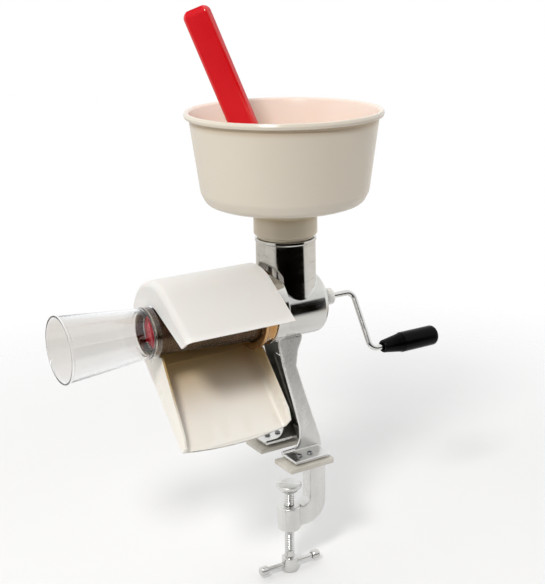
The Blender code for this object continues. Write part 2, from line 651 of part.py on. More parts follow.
def chute(barrel):
    """Sloping tray. Its strap hooks up behind the screen and over it, under the shield."""
    left, right = CHUTE_X
    wall = CHUTE_WALL
    skin = 0.4                 # the side walls stand this far proud of the floor's underside
    inside = (left + skin, right - skin)
    floor = [chute_point(0, 0), chute_point(CHUTE_LENGTH, 0), chute_point(CHUTE_LENGTH, wall),
             chute_point(0, wall)]
    tray = extruded("sauce_chute", "cream_plastic", floor, "YZ", *inside, parent=barrel)
    heel = chute_point(CHUTE_LENGTH + skin, -skin)
    toe = chute_point(-skin, -skin)
    left_side = [toe, heel, (39.0, -38.0), (38.6, -10.0)] + arc((0, 0), 28.6, -12, -112, 8)
    left_side += [chute_point(14.0, 18.0), chute_point(-skin, 12.0)]
    right_side = [toe, heel, (47.0, -28.0), (46.4, -8.6)] + arc((0, 0), COLLAR_R + 0.6, -12, -96, 7)
    right_side += [chute_point(14.0, 21.5), chute_point(-skin, 17.0)]
    add(tray, extruded("chute_left", "cream_plastic", left_side, "YZ", left, left + wall,
                       parent=barrel))
    add(tray, extruded("chute_right", "cream_plastic", right_side, "YZ", right - wall, right,
                       parent=barrel))
    rear_y = HOOK_R[1] - skin
    rear_top = -25.0           # low enough to pass under the collar
    rear = [chute_point(CHUTE_LENGTH - 4, 0.5), (rear_y, -38.5), (rear_y, rear_top),
            (rear_y - wall, rear_top), (rear_y - wall, -37.0), chute_point(CHUTE_LENGTH - 6, wall + 1)]
    add(tray, extruded("chute_rear", "cream_plastic", rear, "YZ", left + 0.8, right - 0.8,
                       parent=barrel))
    inner, outer = HOOK_R
    strap = [(outer, -37.5)] + arc((0, 0), outer, 0, 62, 8) + arc((0, 0), inner, 62, 0, 8)
    strap += [(inner, -36.0)]
    add(tray, extruded("chute_strap", "cream_plastic", strap, "YZ", *HOOK_X, parent=barrel))


def clamp(table):
    """Pressure cup, clamp screw, sliding bar and its two end knobs."""
    axle = empty("clamp_axis", (0, 0, 0), table)
    top = -CLAMP_GAP
    bottom = top - CUP_HEIGHT
    cup = [(0, top), (CUP_R - 1, top), (CUP_R, top - 1), (CUP_R, top - 3.5), (10.5, bottom),
           (CLAMP_SCREW_R + 0.5, bottom), (CLAMP_SCREW_R + 0.5, bottom + 4.5), (0, bottom + 4.5)]
    turned("clamp_cup", "cast_aluminium", cup, axis="Z", segments=24, parent=axle)
    head_top = CLAMP_ARM_BOTTOM - 3 - 38.0
    head = head_top - CLAMP_HEAD
    screw = [(0, bottom + 4.0), (CLAMP_SCREW_R - 1, bottom + 4.0), (CLAMP_SCREW_R, bottom + 3.0),
             (CLAMP_SCREW_R, head_top), (CLAMP_HEAD_R - 1, head_top), (CLAMP_HEAD_R, head_top - 1),
             (CLAMP_HEAD_R, head + 1), (CLAMP_HEAD_R - 1, head), (0, head)]
    body = turned("clamp_screw", "bright_steel", screw, axis="Z", segments=24, parent=axle)
    middle = head + CLAMP_HEAD / 2
    cut(body, turned("bar_hole", "bright_steel", rod_profile(TBAR_R + GAP, -12, 12), segments=16,
                     centre=(0, 0, middle), parent=axle))
    half = TBAR_LENGTH / 2
    turned("clamp_bar", "bright_steel", rod_profile(TBAR_R, -half, half, 0.6), segments=16,
           centre=(0, 0, middle), parent=axle)
    for side, name in ((-1, "a"), (1, "b")):
        knob = [(TBAR_R + 0.35, half - 8), (4.6, half - 8), (5.6, half - 6.5), (5.6, half + 0.2),
                (4.2, half + 2.2), (0, half + 2.2), (0, half + 0.4), (TBAR_R + 0.35, half + 0.4)]
        if side < 0:
            knob = [(radius, -x) for radius, x in reversed(knob)]
        turned("clamp_bar_knob_" + name, "bright_steel", knob, segments=12, centre=(0, 0, middle),
               parent=axle)


def build():
    for old in list(bpy.data.objects):
        bpy.data.objects.remove(old, do_unlink=True)
    table = empty("table_frame", (0, 0, 0))
    barrel = empty("barrel_axis", (0, 0, AXIS_Z), table)
    crank = empty("crank_axis", (0, 0, 0), barrel)
    casting(barrel)
    feet(table)
    bushing(barrel)
    screen_collar(barrel)
    screen(barrel)
    auger(crank)
    spring(crank)
    crank_rod(crank)
    grip(crank)
    lift = hopper(barrel)
    pusher(lift)
    funnel(barrel)
    shield(barrel)
    chute(barrel)
    clamp(table)


build()
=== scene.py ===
"""Looks of the hand-cranked table-clamp food strainer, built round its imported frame.

The frame is in metres. Pieces made here are drawn in millimetres from the barrel axis, the same way
round as the frame: X runs along the barrel with the crank at +X, and Z is up.
"""
import math
from math import acos, cos, hypot, pi, radians, sin, sqrt, tan, tau

import bmesh
import bpy
from mathutils import Matrix, Vector


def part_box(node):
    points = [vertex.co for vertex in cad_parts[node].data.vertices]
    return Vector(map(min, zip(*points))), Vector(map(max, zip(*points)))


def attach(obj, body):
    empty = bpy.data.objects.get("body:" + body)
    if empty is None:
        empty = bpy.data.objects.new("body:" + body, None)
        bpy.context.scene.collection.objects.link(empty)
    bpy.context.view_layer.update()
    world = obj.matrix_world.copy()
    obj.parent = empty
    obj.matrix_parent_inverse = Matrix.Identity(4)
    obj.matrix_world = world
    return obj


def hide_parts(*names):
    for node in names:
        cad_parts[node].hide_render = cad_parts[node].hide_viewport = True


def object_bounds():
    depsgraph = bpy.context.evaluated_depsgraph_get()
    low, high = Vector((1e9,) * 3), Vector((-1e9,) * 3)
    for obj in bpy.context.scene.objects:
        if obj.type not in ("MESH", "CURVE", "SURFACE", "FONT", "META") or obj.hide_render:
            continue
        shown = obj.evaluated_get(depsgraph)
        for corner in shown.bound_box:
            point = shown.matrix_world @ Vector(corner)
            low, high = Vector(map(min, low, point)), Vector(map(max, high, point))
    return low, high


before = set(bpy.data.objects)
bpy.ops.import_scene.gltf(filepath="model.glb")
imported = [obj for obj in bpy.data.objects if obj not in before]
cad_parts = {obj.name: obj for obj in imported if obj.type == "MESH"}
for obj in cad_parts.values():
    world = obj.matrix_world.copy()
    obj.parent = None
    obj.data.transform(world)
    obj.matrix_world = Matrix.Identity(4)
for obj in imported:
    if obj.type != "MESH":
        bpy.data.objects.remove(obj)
cad_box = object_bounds()
scene = bpy.context.scene

MM = 0.001


def extent(node):
    """A CAD node's box in millimetres from the barrel axis."""
    low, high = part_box(node)
    shift = Vector((0, 0, AXIS_Z))
    return Vector(low) / MM - shift, Vector(high) / MM - shift


ring_low, ring_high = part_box("screen_end_ring")
AXIS_Z = (ring_low.z + ring_high.z) / 2 / MM

CASTING = extent("body_casting")
HOPPER = extent("hopper")
FUNNEL = extent("waste_funnel")
SHIELD = extent("splatter_shield")
CHUTE = extent("sauce_chute")
COLLAR = extent("screen_collar")
SCREEN = extent("strainer_screen")
AUGER = extent("auger")
GRIP = extent("crank_grip")
ROD = extent("crank_rod")

TUBE_R = 33.0
TUBE_BORE = 29.6
TUBE_TOP = CASTING[1].z
BARREL_R = 36.0
BARREL_BORE = 32.4
MOUTH_X = CASTING[0].x
BACK_X = 36.0
BACK_EASE = 7.0
ROD_R = 3.25
SCREEN_SMALL = 24.2    # outer radius at the waste end
SCREEN_LARGE = 32.2    # outer radius at the barrel
SLEEVE_R = 26.5        # the funnel's bore, over the screen's end
CRANK_X = 90.0
GRIP_Y = (GRIP[0].y + GRIP[1].y) / 2
GRIP_Z = (GRIP[0].z + GRIP[1].z) / 2


# ---------------------------------------------------------------- materials

def add(tree, kind, **values):
    """A shader node with its inputs set to plain values or linked to sockets."""
    made = tree.nodes.new("ShaderNode" + kind)
    for key, value in values.items():
        socket = made.inputs[key.replace("_", " ")]
        if isinstance(value, bpy.types.NodeSocket):
            tree.links.new(value, socket)
        else:
            socket.default_value = value
    return made


def new_material(name, roughness, metallic=0.0, **constants):
    made = bpy.data.materials.new(name)
    made.use_nodes = True
    shader = made.node_tree.nodes["Principled BSDF"]
    constants.update(Roughness=roughness, Metallic=metallic)
    for key, value in constants.items():
        shader.inputs[key.replace("_", " ")].default_value = value
    return made, shader


def noise(tree, scale, stretch=(1, 1, 1), detail=4.0, distortion=0.0):
    """Noise in the piece's own space, in cycles per metre."""
    place = add(tree, "TexCoord").outputs["Object"]
    squeeze = add(tree, "Mapping", Vector=place, Scale=stretch).outputs["Vector"]
    return add(tree, "TexNoise", Vector=squeeze, Scale=scale, Detail=detail,
               Distortion=distortion).outputs["Fac"]


def spread(tree, source, low, high, start=0.35, stop=0.65):
    """Turn a noise value into the range low to high."""
    return add(tree, "MapRange", Value=source, From_Min=start, From_Max=stop, To_Min=low,
               To_Max=high).outputs["Result"]


def smooth_step(tree, source, start, stop):
    """A smooth 0 to 1 as a value goes from start to stop."""
    made = add(tree, "MapRange", Value=source, From_Min=start, From_Max=stop)
    made.interpolation_type = "SMOOTHSTEP"
    return made.outputs["Result"]


def arithmetic(tree, operation, *values):
    """A math node fed with sockets or plain numbers."""
    made = tree.nodes.new("ShaderNodeMath")
    made.operation = operation
    for i, value in enumerate(values):
        if isinstance(value, bpy.types.NodeSocket):
            tree.links.new(value, made.inputs[i])
        else:
            made.inputs[i].default_value = value
    return made.outputs[0]


def blend_colour(tree, share, first, second):
    made = add(tree, "Mix", Factor=share)
    made.data_type = "RGBA"
    for socket, value in ((6, first), (7, second)):
        if isinstance(value, tuple):
            made.inputs[socket].default_value = (*value, 1)
        else:
            tree.links.new(value, made.inputs[socket])
    return made.outputs[2]


def length(tree, vector):
    made = add(tree, "VectorMath", Vector=vector)
    made.operation = "LENGTH"
    return made.outputs["Value"]


def place_tone(tree, axis, start, stop):
    """A smooth 0 to 1 along a world axis, or along the distance from the Z axis, in millimetres."""
    place = add(tree, "TexCoord").outputs["Object"]
    if axis == "R":
        source = length(tree, add(tree, "Mapping", Vector=place, Scale=(1, 1, 0)).outputs["Vector"])
    else:
        source = add(tree, "SeparateXYZ", Vector=place).outputs[axis]
    return smooth_step(tree, source, start * MM, stop * MM)


def tint(material, tone, amount, *places):
    """Mix a tone over a look's colour where every (axis, start, stop) place reaches 1. Here it
    paints shade and light into the colour.
    """
    tree = material.node_tree
    socket = tree.nodes["Principled BSDF"].inputs["Base Color"]
    before = socket.links[0].from_socket
    share = amount
    for where in places:
        share = arithmetic(tree, "MULTIPLY", place_tone(tree, *where), share)
    tree.links.new(blend_colour(tree, share, before, tone), socket)


def copy_look(look, name):
    made = look.copy()
    made.name = name
    return made


def finish_look(name, colours, roughness, metallic=0.0, tones=9.0, stretch=(1, 1, 1),
                glosses=60.0, bump=(900.0, 0.05, 0.0002), wear=None, marks=None, **constants):
    """Colour drift, uneven gloss, fine surface texture, sparse marks and lighter worn edges."""
    made, shader = new_material(name, sum(roughness) / 2, metallic, **constants)
    tree = made.node_tree
    tone = spread(tree, noise(tree, tones, stretch), 0.0, 1.0)
    colour = blend_colour(tree, tone, colours[0], colours[1])
    if marks:
        mark_colour, mark_scale, mark_stretch, start, amount = marks
        share = spread(tree, noise(tree, mark_scale, mark_stretch, 6.0, 0.4), 0.0, amount, start,
                       start + 0.12)
        colour = blend_colour(tree, share, colour, mark_colour)
    if wear:
        edge = add(tree, "NewGeometry").outputs["Pointiness"]
        share = spread(tree, edge, 0.0, wear[1], 0.515, 0.58)
        colour = blend_colour(tree, share, colour, wear[0])
    tree.links.new(colour, shader.inputs["Base Color"])
    gloss = spread(tree, noise(tree, glosses, stretch, 5.0), roughness[0], roughness[1])
    tree.links.new(gloss, shader.inputs["Roughness"])
    relief = add(tree, "Bump", Height=noise(tree, bump[0], stretch, 3.0), Strength=bump[1],
                 Distance=bump[2])
    tree.links.new(relief.outputs["Normal"], shader.inputs["Normal"])
    return made


cream = finish_look(
    "moulded_cream", ((0.700, 0.645, 0.552), (0.712, 0.657, 0.564)), (0.20, 0.24), tones=3.0,
    glosses=14.0, bump=(1400.0, 0.01, 0.0001), wear=((0.90, 0.86, 0.78), 0.4),
    Subsurface_Weight=0.12, Subsurface_Scale=0.006)
cream_shader = cream.node_tree.nodes["Principled BSDF"]
cream_shader.inputs["Subsurface Radius"].default_value = (1.0, 0.6, 0.35)
RIM = HOPPER[1].z + AXIS_Z
# Painted shade: an olive-brown band on the outer wall just under the rim's lip.
tint(cream, (0.40, 0.28, 0.13), 0.70, ("Z", RIM - 17, RIM - 6), ("Z", RIM - 5.4, RIM - 6.8),
     ("R", 100.2, 101.0))
# Painted shade: a brown darkening where the bowl's underside meets the neck, and a lighter one over
# the whole neck below the bowl.
tint(cream, (0.52, 0.40, 0.22), 0.75, ("Z", RIM - 98, RIM - 108), ("Z", RIM - 122, RIM - 111),
     ("R", 48.0, 36.0))
tint(cream, (0.60, 0.48, 0.30), 0.35, ("Z", RIM - 112, RIM - 120))
# Painted light: the bowl's inside is a lighter, pinker copy of the cream, standing in for the light
# that fills the bowl.
lit_cream_inside = copy_look(cream, "moulded_cream_inside_painted_light")
tint(lit_cream_inside, (0.90, 0.765, 0.68), 0.8, ("Z", RIM - 104, RIM - 92))
shield_cream = finish_look(
    "moulded_offwhite", ((0.735, 0.718, 0.690), (0.755, 0.738, 0.712)), (0.37, 0.41), tones=4.0,
    glosses=14.0, bump=(1500.0, 0.01, 0.0001), wear=((0.95, 0.94, 0.92), 0.5),
    Subsurface_Weight=0.1, Subsurface_Scale=0.004)
chute_cream = finish_look(
    "moulded_chute", ((0.890, 0.850, 0.770), (0.905, 0.868, 0.795)), (0.27, 0.31), tones=4.0,
    glosses=14.0, bump=(1500.0, 0.01, 0.0001), wear=((0.95, 0.92, 0.86), 0.5),
    Subsurface_Weight=0.1, Subsurface_Scale=0.004)
# Painted shade: the tray's inside is a copy whose cream turns olive-brown towards its top, standing
# in for the shade under the screen and shield.
shaded_chute_inside = copy_look(chute_cream, "moulded_chute_inside_painted_shade")
tint(shaded_chute_inside, (0.46, 0.29, 0.07), 0.9, ("Z", 80.0, 140.0))
polished = finish_look(
    "polished_casting", ((0.56, 0.555, 0.53), (0.66, 0.655, 0.63)), (0.05, 0.12), 1.0, tones=14.0,
    stretch=(1, 3, 3), glosses=45.0, bump=(35.0, 0.05, 0.0010),
    marks=((0.38, 0.375, 0.36), 55.0, (1, 2, 4), 0.60, 0.5))
satin = finish_look(
    "satin_casting", ((0.62, 0.615, 0.60), (0.72, 0.715, 0.695)), (0.24, 0.38), 1.0, tones=30.0,
    stretch=(1, 1, 0.4), glosses=90.0, bump=(420.0, 0.22, 0.0004), wear=((0.95, 0.95, 0.95), 0.6),
    marks=((0.36, 0.35, 0.34), 70.0, (1, 1, 0.5), 0.62, 0.4))
# Painted shade: a near-black copy of the casting for the inside of the leg's channel, standing in
# for the shade between the chute and the leg's flanks.
channel_shade_cast = finish_look(
    "channel_painted_shade", ((0.075, 0.072, 0.060), (0.12, 0.115, 0.10)), (0.40, 0.55), 0.9, tones=60.0,
    glosses=200.0, bump=(600.0, 0.3, 0.0004))
collar_look = finish_look(
    "collar_metal", ((0.40, 0.200, 0.062), (0.52, 0.29, 0.11)), (0.18, 0.32), 1.0, tones=40.0,
    glosses=120.0, bump=(700.0, 0.10, 0.0002), wear=((0.80, 0.62, 0.42), 0.5))
# Painted shade and reflection: the stainless screen is coloured near-black brown, standing in for
# the shade under the shield and the brown tray it mirrors.
shaded_screen_look = finish_look(
    "screen_metal_painted_shade", ((0.050, 0.028, 0.014), (0.085, 0.050, 0.027)), (0.22, 0.36), 1.0, tones=60.0,
    glosses=150.0, bump=(900.0, 0.10, 0.0002), wear=((0.40, 0.30, 0.20), 0.4))
ring_look = finish_look(
    "rolled_end_metal", ((0.42, 0.37, 0.30), (0.55, 0.50, 0.42)), (0.16, 0.28), 1.0, tones=50.0,
    glosses=150.0, bump=(900.0, 0.08, 0.0002), wear=((0.85, 0.82, 0.76), 0.5))
steel = finish_look(
    "bright_rod", ((0.58, 0.575, 0.56), (0.70, 0.695, 0.68)), (0.08, 0.18), 1.0, tones=30.0,
    glosses=150.0, bump=(160.0, 0.06, 0.0004),
    marks=((0.45, 0.45, 0.46), 160.0, (1, 1, 1), 0.62, 0.4))
dark_steel = finish_look(
    "blackened_screw", ((0.035, 0.035, 0.04), (0.09, 0.09, 0.095)), (0.28, 0.45), 1.0,
    tones=200.0, glosses=400.0, bump=(1500.0, 0.15, 0.0002), wear=((0.45, 0.45, 0.46), 0.7))
red = finish_look(
    "gloss_red", ((0.60, 0.003, 0.010), (0.68, 0.005, 0.013)), (0.26, 0.36), tones=12.0,
    glosses=70.0, bump=(1200.0, 0.03, 0.0001), wear=((0.80, 0.08, 0.08), 0.4),
    Specular_IOR_Level=0.12)
# Glossier, more specular red for the bar's long rounded edges; its slightly lighter red is painted
# sheen along those edges.
edge_gloss_and_sheen_red = finish_look(
    "glossy_edge_red_painted_sheen", ((0.66, 0.006, 0.010), (0.74, 0.010, 0.014)), (0.16, 0.22), tones=12.0,
    glosses=70.0, bump=(1200.0, 0.02, 0.0001), Specular_IOR_Level=0.85)
crimson = finish_look(
    "auger_crimson", ((0.40, 0.004, 0.018), (0.52, 0.008, 0.026)), (0.24, 0.36), tones=25.0,
    glosses=120.0, bump=(1200.0, 0.04, 0.0001), wear=((0.70, 0.06, 0.07), 0.4),
    Specular_IOR_Level=0.12)
black = finish_look(
    "gloss_black", ((0.0008, 0.0008, 0.0009), (0.0016, 0.0016, 0.0018)), (0.14, 0.20), tones=40.0,
    glosses=60.0, bump=(900.0, 0.02, 0.0001), wear=((0.02, 0.02, 0.02), 0.4),
    Specular_IOR_Level=0.07)
nylon = finish_look(
    "white_nylon", ((0.76, 0.75, 0.71), (0.84, 0.83, 0.80)), (0.34, 0.48), tones=60.0,
    bump=(1500.0, 0.06, 0.0001))
pale_rubber = finish_look(
    "pale_pad", ((0.52, 0.49, 0.43), (0.62, 0.59, 0.53)), (0.55, 0.75), tones=50.0,
    bump=(700.0, 0.25, 0.0004))
grey_rubber = finish_look(
    "seal_rubber", ((0.05, 0.05, 0.05), (0.09, 0.09, 0.09)), (0.55, 0.8), tones=80.0,
    bump=(1200.0, 0.2, 0.0002))
clear = finish_look(
    "clear_funnel", ((0.95, 0.955, 0.96), (0.985, 0.985, 0.985)), (0.015, 0.06), tones=10.0,
    glosses=25.0, bump=(60.0, 0.03, 0.0004), Transmission_Weight=1.0, IOR=1.49,
    Specular_IOR_Level=0.38)


# ---------------------------------------------------------------- mesh helpers

def piece(name, bm, look, body, slot, nodes=(), sharp=35.0, turn=None, place=(0, 0, 0)):
    """Make a bmesh, drawn in millimetres from the barrel axis, a piece that rides on a body."""
    bmesh.ops.remove_doubles(bm, verts=bm.verts, dist=0.0005)
    bmesh.ops.recalc_face_normals(bm, faces=bm.faces)
    if turn:
        bmesh.ops.transform(bm, matrix=turn, verts=bm.verts)
    bmesh.ops.translate(bm, vec=Vector(place) + Vector((0, 0, AXIS_Z)), verts=bm.verts)
    bmesh.ops.scale(bm, vec=(MM, MM, MM), verts=bm.verts)
    mesh = bpy.data.meshes.new(name)
    bm.to_mesh(mesh)
    bm.free()
    mesh.shade_smooth()
    mesh.set_sharp_from_angle(angle=radians(sharp))
    mesh.materials.append(look)
    obj = bpy.data.objects.new(name, mesh)
    scene.collection.objects.link(obj)
    if body:
        settle(obj, body, nodes)
    return obj


def settle(obj, body, nodes=()):
    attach(obj, body)
    if nodes:
        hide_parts(*nodes)


def soften(points, radius, steps=4, closed=True):
    """Round a polyline's corners. A corner never takes more than 0.45 of an edge beside it."""
    result = []
    count = len(points)
    for i, point in enumerate(points):
        here = Vector(point)
        if not closed and i in (0, count - 1):
            result.append(tuple(here))
            continue
        before = Vector(points[i - 1]) - here
        after = Vector(points[(i + 1) % count]) - here
        on_axis = here[0] <= 0.001
        bend = pi - before.angle(after) if before.length and after.length else 0
        if on_axis or bend < radians(8):
            result.append(tuple(here))
            continue
        reach = min(radius * tan(bend / 2), 0.45 * before.length, 0.45 * after.length)
        first = here + before.normalized() * reach
        last = here + after.normalized() * reach
        for j in range(steps + 1):
            t = j / steps
            result.append(tuple(first.lerp(here, t).lerp(here.lerp(last, t), t)))
    return result


def circle(count, radius):
    """Points round a circle, as (cosine part, sine part)."""
    return [(radius * cos(tau * i / count), radius * sin(tau * i / count)) for i in range(count)]


def revolve(profile, axis, segments):
    """A closed solid of revolution from a loop of (radius, height)."""
    bm = bmesh.new()
    rows = []
    for radius, height in profile:
        if radius <= 0.001:
            rows.append([bm.verts.new((0, 0, height))])
            continue
        rows.append([bm.verts.new((x, y, height)) for x, y in circle(segments, radius)])
    for first, second in zip(rows, rows[1:] + rows[:1]):
        if len(first) == 1 and len(second) == 1:
            continue
        for i in range(segments):
            j = (i + 1) % segments
            if len(first) == 1:
                bm.faces.new((first[0], second[j], second[i]))
            elif len(second) == 1:
                bm.faces.new((first[i], first[j], second[0]))
            else:
                bm.faces.new((first[i], first[j], second[j], second[i]))
    if axis == "X":
        bmesh.ops.transform(bm, matrix=Matrix.Rotation(radians(90), 4, "Y"), verts=bm.verts)
    elif axis == "Y":
        bmesh.ops.transform(bm, matrix=Matrix.Rotation(radians(-90), 4, "X"), verts=bm.verts)
    return bm


def cylinder(radius, start, stop, axis, segments):
    return revolve([(0, start), (radius, start), (radius, stop), (0, stop)], axis, segments)


def rounded_box(x, y, ease, steps):
    """A rectangle's outline with rounded corners."""
    return soften([(x[0], y[0]), (x[1], y[0]), (x[1], y[1]), (x[0], y[1])], ease, steps)


def prism(outline, plane, low, high):
    """An outline drawn in a plane, extruded along the third axis."""
    def point(p, depth):
        u, v = p
        return {"XZ": (u, depth, v), "YZ": (depth, u, v), "XY": (u, v, depth)}[plane]
    bm = bmesh.new()
    first = [bm.verts.new(point(p, low)) for p in outline]
    second = [bm.verts.new(point(p, high)) for p in outline]
    bm.faces.new(first)
    bm.faces.new(list(reversed(second)))
    for i in range(len(outline)):
        j = (i + 1) % len(outline)
        bm.faces.new((first[i], second[i], second[j], first[j]))
    bmesh.ops.recalc_face_normals(bm, faces=bm.faces)
    return bm


def arc(centre, radius, start, end, steps):
    return [(centre[0] + radius * cos(radians(start + (end - start) * i / steps)),
             centre[1] + radius * sin(radians(start + (end - start) * i / steps)))
            for i in range(steps + 1)]


def skin(rows, close_rows=False):
    """A surface through equal rows of points, each row a closed loop, with its ends capped."""
    bm = bmesh.new()
    made = [[bm.verts.new(p) for p in row] for row in rows]
    pairs = list(zip(made, made[1:] + made[:1])) if close_rows else list(zip(made, made[1:]))
    for first, second in pairs:
        count = len(first)
        for i in range(count):
            j = (i + 1) % count
            bm.faces.new((first[i], first[j], second[j], second[i]))
    if not close_rows:
        bm.faces.new(made[0])
        bm.faces.new(list(reversed(made[-1])))
    return bm


def apply_modifiers(obj):
    """Bake an object's modifiers into its mesh."""
    graph = bpy.context.evaluated_depsgraph_get()
    mesh = bpy.data.meshes.new_from_object(obj.evaluated_get(graph))
    obj.modifiers.clear()
    old = obj.data
    obj.data = mesh
    bpy.data.meshes.remove(old)


def solve(base, helpers, operation):
    """Join or cut with helpers that are then thrown away."""
    for helper in helpers:
        modifier = base.modifiers.new("join", "BOOLEAN")
        modifier.operation = operation
        modifier.solver = "EXACT"
        modifier.object = helper
        bpy.context.view_layer.update()
        apply_modifiers(base)
        bpy.data.objects.remove(helper)


def loose(bm, look, **options):
    return piece("helper", bm, look, None, None, **options)


def keep(obj, name, sharp, body, nodes=()):
    """Name a solved helper, set its sharp edges and make it a piece that rides on a body."""
    obj.name = name
    obj.data.shade_smooth()
    obj.data.set_sharp_from_angle(angle=radians(sharp))
    settle(obj, body, nodes)


def repaint(obj, look, chosen):
    """Give a second look to the faces that a test picks."""
    obj.data.materials.append(look)
    for face in obj.data.polygons:
        if chosen(face):
            face.material_index = 1


def ring_piece(name, node, bore, ease, look, body, slot, outer=None, segments=64, place=(0, 0, 0)):
    """A ring with softened edges, as long as its CAD node."""
    low, high = extent(node)
    profile = rounded_box((bore, outer or high.z), (low.x, high.x), ease, 3)
    piece(name, revolve(profile, "X", segments), look, body, slot, [node], place=place)


def bevel(obj, width):
    modifier = obj.modifiers.new("bevel", "BEVEL")
    modifier.width = width * MM
    modifier.segments = 3
    modifier.limit_method = "ANGLE"
    modifier.angle_limit = radians(50)
    modifier.harden_normals = False
    bpy.context.view_layer.update()
    apply_modifiers(obj)


# ---------------------------------------------------------------- hopper and pusher

def hopper():
    rim_r, rim_z = HOPPER[1].x, HOPPER[1].z
    foot = HOPPER[0].z
    outer = [(28.4, foot), (29.2, foot + 0.8), (29.2, TUBE_TOP + 0.3), (31.6, TUBE_TOP + 0.3),
             (31.6, TUBE_TOP + 4.5), (34.6, TUBE_TOP + 4.5), (35.0, TUBE_TOP + 5.2), (35.0, 104.0),
             (37.0, 110.0), (76.0, 116.2), (85.6, 119.6), (91.4, 131.0), (101.5, 208.4),
             (102.6, 210.6), (106.0, 211.3), (rim_r, 214.4), (105.8, rim_z), (103.2, rim_z),
             (101.3, 215.6)]
    inner = [(98.8, 206.0), (88.6, 131.0), (83.0, 122.0), (74.0, 118.8), (36.0, 112.6),
             (29.0, 109.0), (27.6, 100.0), (27.6, foot)]
    radii = {8: 3.0, 9: 9.0, 10: 16.0, 11: 14.0, 21: 6.0, 22: 6.0}    # the rest are 1.1
    profile = []
    path = outer + inner
    for i, point in enumerate(path):
        three = [path[i - 1], point, path[(i + 1) % len(path)]]
        profile += soften(three, radii.get(i, 1.1), 6, closed=False)[1:-1]
    bowl = piece("hopper_bowl", revolve(profile, "Z", 160), cream, "hopper", "cream_plastic",
                 ["hopper"])
    # Inner faces above the neck take the copy with the painted light.
    repaint(bowl, lit_cream_inside, lambda face: face.normal.xy.dot(face.center.xy) < 0
            and face.center.z > (RIM - 104) * MM)


def pusher():
    """The flat bar leans back and to the left, with its broad face to the front."""
    width, thick, length, edge = 30.1, 12.9, 275.1, 4.5
    lean, heading, spin = radians(21.6), radians(149.0), radians(-15.5)
    outline = []
    for start, cx, cy in ((0, 1, 1), (90, -1, 1), (180, -1, -1), (270, 1, -1)):
        corner = (cx * (width / 2 - edge), cy * (thick / 2 - edge))
        outline += arc(corner, edge, start, start + 90, 7)
    crown = 8.0
    levels = [(0.0, 1.5), (0.4, 0.8), (1.5, 0.0), (length - crown, 0.0)]
    levels += [(length - crown + crown * sin(radians(d)),
                crown * (1 - cos(radians(d)))) for d in (12, 24, 36, 48, 60, 70, 77)]
    rows = []
    for height, inset in levels:
        squash = min(inset, thick / 2 - 2.6)
        rows.append([(x * (1 - 2 * inset / width), y * (1 - 2 * squash / thick), height)
                     for x, y in outline])
    slant = (Matrix.Rotation(heading, 4, "Z") @ Matrix.Rotation(lean, 4, "Y")
             @ Matrix.Rotation(spin, 4, "Z"))
    bar = piece("pusher_bar", skin(rows), red, "pusher", "red_plastic", ["pusher"], turn=slant,
                place=(8.5, -5.1, 68.0), sharp=50)
    broad, narrow = slant.col[1].xyz, slant.col[0].xyz
    # The long rounded edges take the glossier red with the painted sheen.
    repaint(bar, edge_gloss_and_sheen_red, lambda face: abs(face.normal.dot(broad)) > 0.2
            and abs(face.normal.dot(narrow)) > 0.2)


# ---------------------------------------------------------------- casting

def blend_distance(a, b, k):
    """The nearer of two surfaces, with the crease between them filled over k."""
    h = max(k - abs(a - b), 0.0) / k
    return min(a, b) - h * h * k / 4


def barrel_distance(point):
    """Distance to the barrel with its rounded back edge."""
    q = (point.x - (BACK_X - BACK_EASE), hypot(point.y, point.z) - (BARREL_R - BACK_EASE))
    outside = hypot(max(q[0], 0), max(q[1], 0))
    return outside + min(max(q), 0) - BACK_EASE + 0.05


def tube_rows(segments, steps):
    """Feed tube with a cast fillet where it meets the barrel."""
    lip = soften([(32.2, TUBE_TOP), (33.9, TUBE_TOP), (33.9, TUBE_TOP - 3.0),
                  (TUBE_R, TUBE_TOP - 3.8), (TUBE_R, TUBE_TOP - 8.0)], 0.6, 3, closed=False)
    rows = [[] for _ in range(len(lip) + steps + 3)]
    for i in range(segments):
        angle = tau * i / segments
        out = Vector((cos(angle), sin(angle), 0))
        share = min(max((out.x + 0.95) / 0.5, 0.0), 1.0)
        size = 1.0 + 2.0 * share * share * (3 - 2 * share)
        for j, (radius, height) in enumerate(lip):
            rows[j].append(out * radius + Vector((0, 0, height)))
        reach = TUBE_R + size
        centre = out * reach
        low, high = 5.0, 60.0
        for _ in range(40):
            centre.z = (low + high) / 2
            if barrel_distance(centre) > size:
                high = centre.z
            else:
                low = centre.z
        slope = Vector([barrel_distance(centre + step) - barrel_distance(centre - step)
                        for step in (Matrix.Identity(3) * 0.01)])
        begin, leave = -out, -slope.normalized()
        for j in range(steps + 1):
            aim = begin.slerp(leave, j / steps)
            near, far = 0.0, size * 2.2
            for _ in range(30):
                middle = (near + far) / 2
                point = centre + aim * middle
                wall = hypot(point.x, point.y) - TUBE_R
                if blend_distance(wall, barrel_distance(point), size * 0.9) > 0:
                    near = middle
                else:
                    far = middle
            rows[len(lip) + j].append(centre + aim * near)
        last = rows[len(lip) + steps][-1]
        rows[len(lip) + steps + 1].append(Vector((min(last.x * 0.93, BACK_X - 5), last.y * 0.90,
                                                  last.z * 0.90)))
        rows[len(lip) + steps + 2].append(out * 18.0)
    return rows


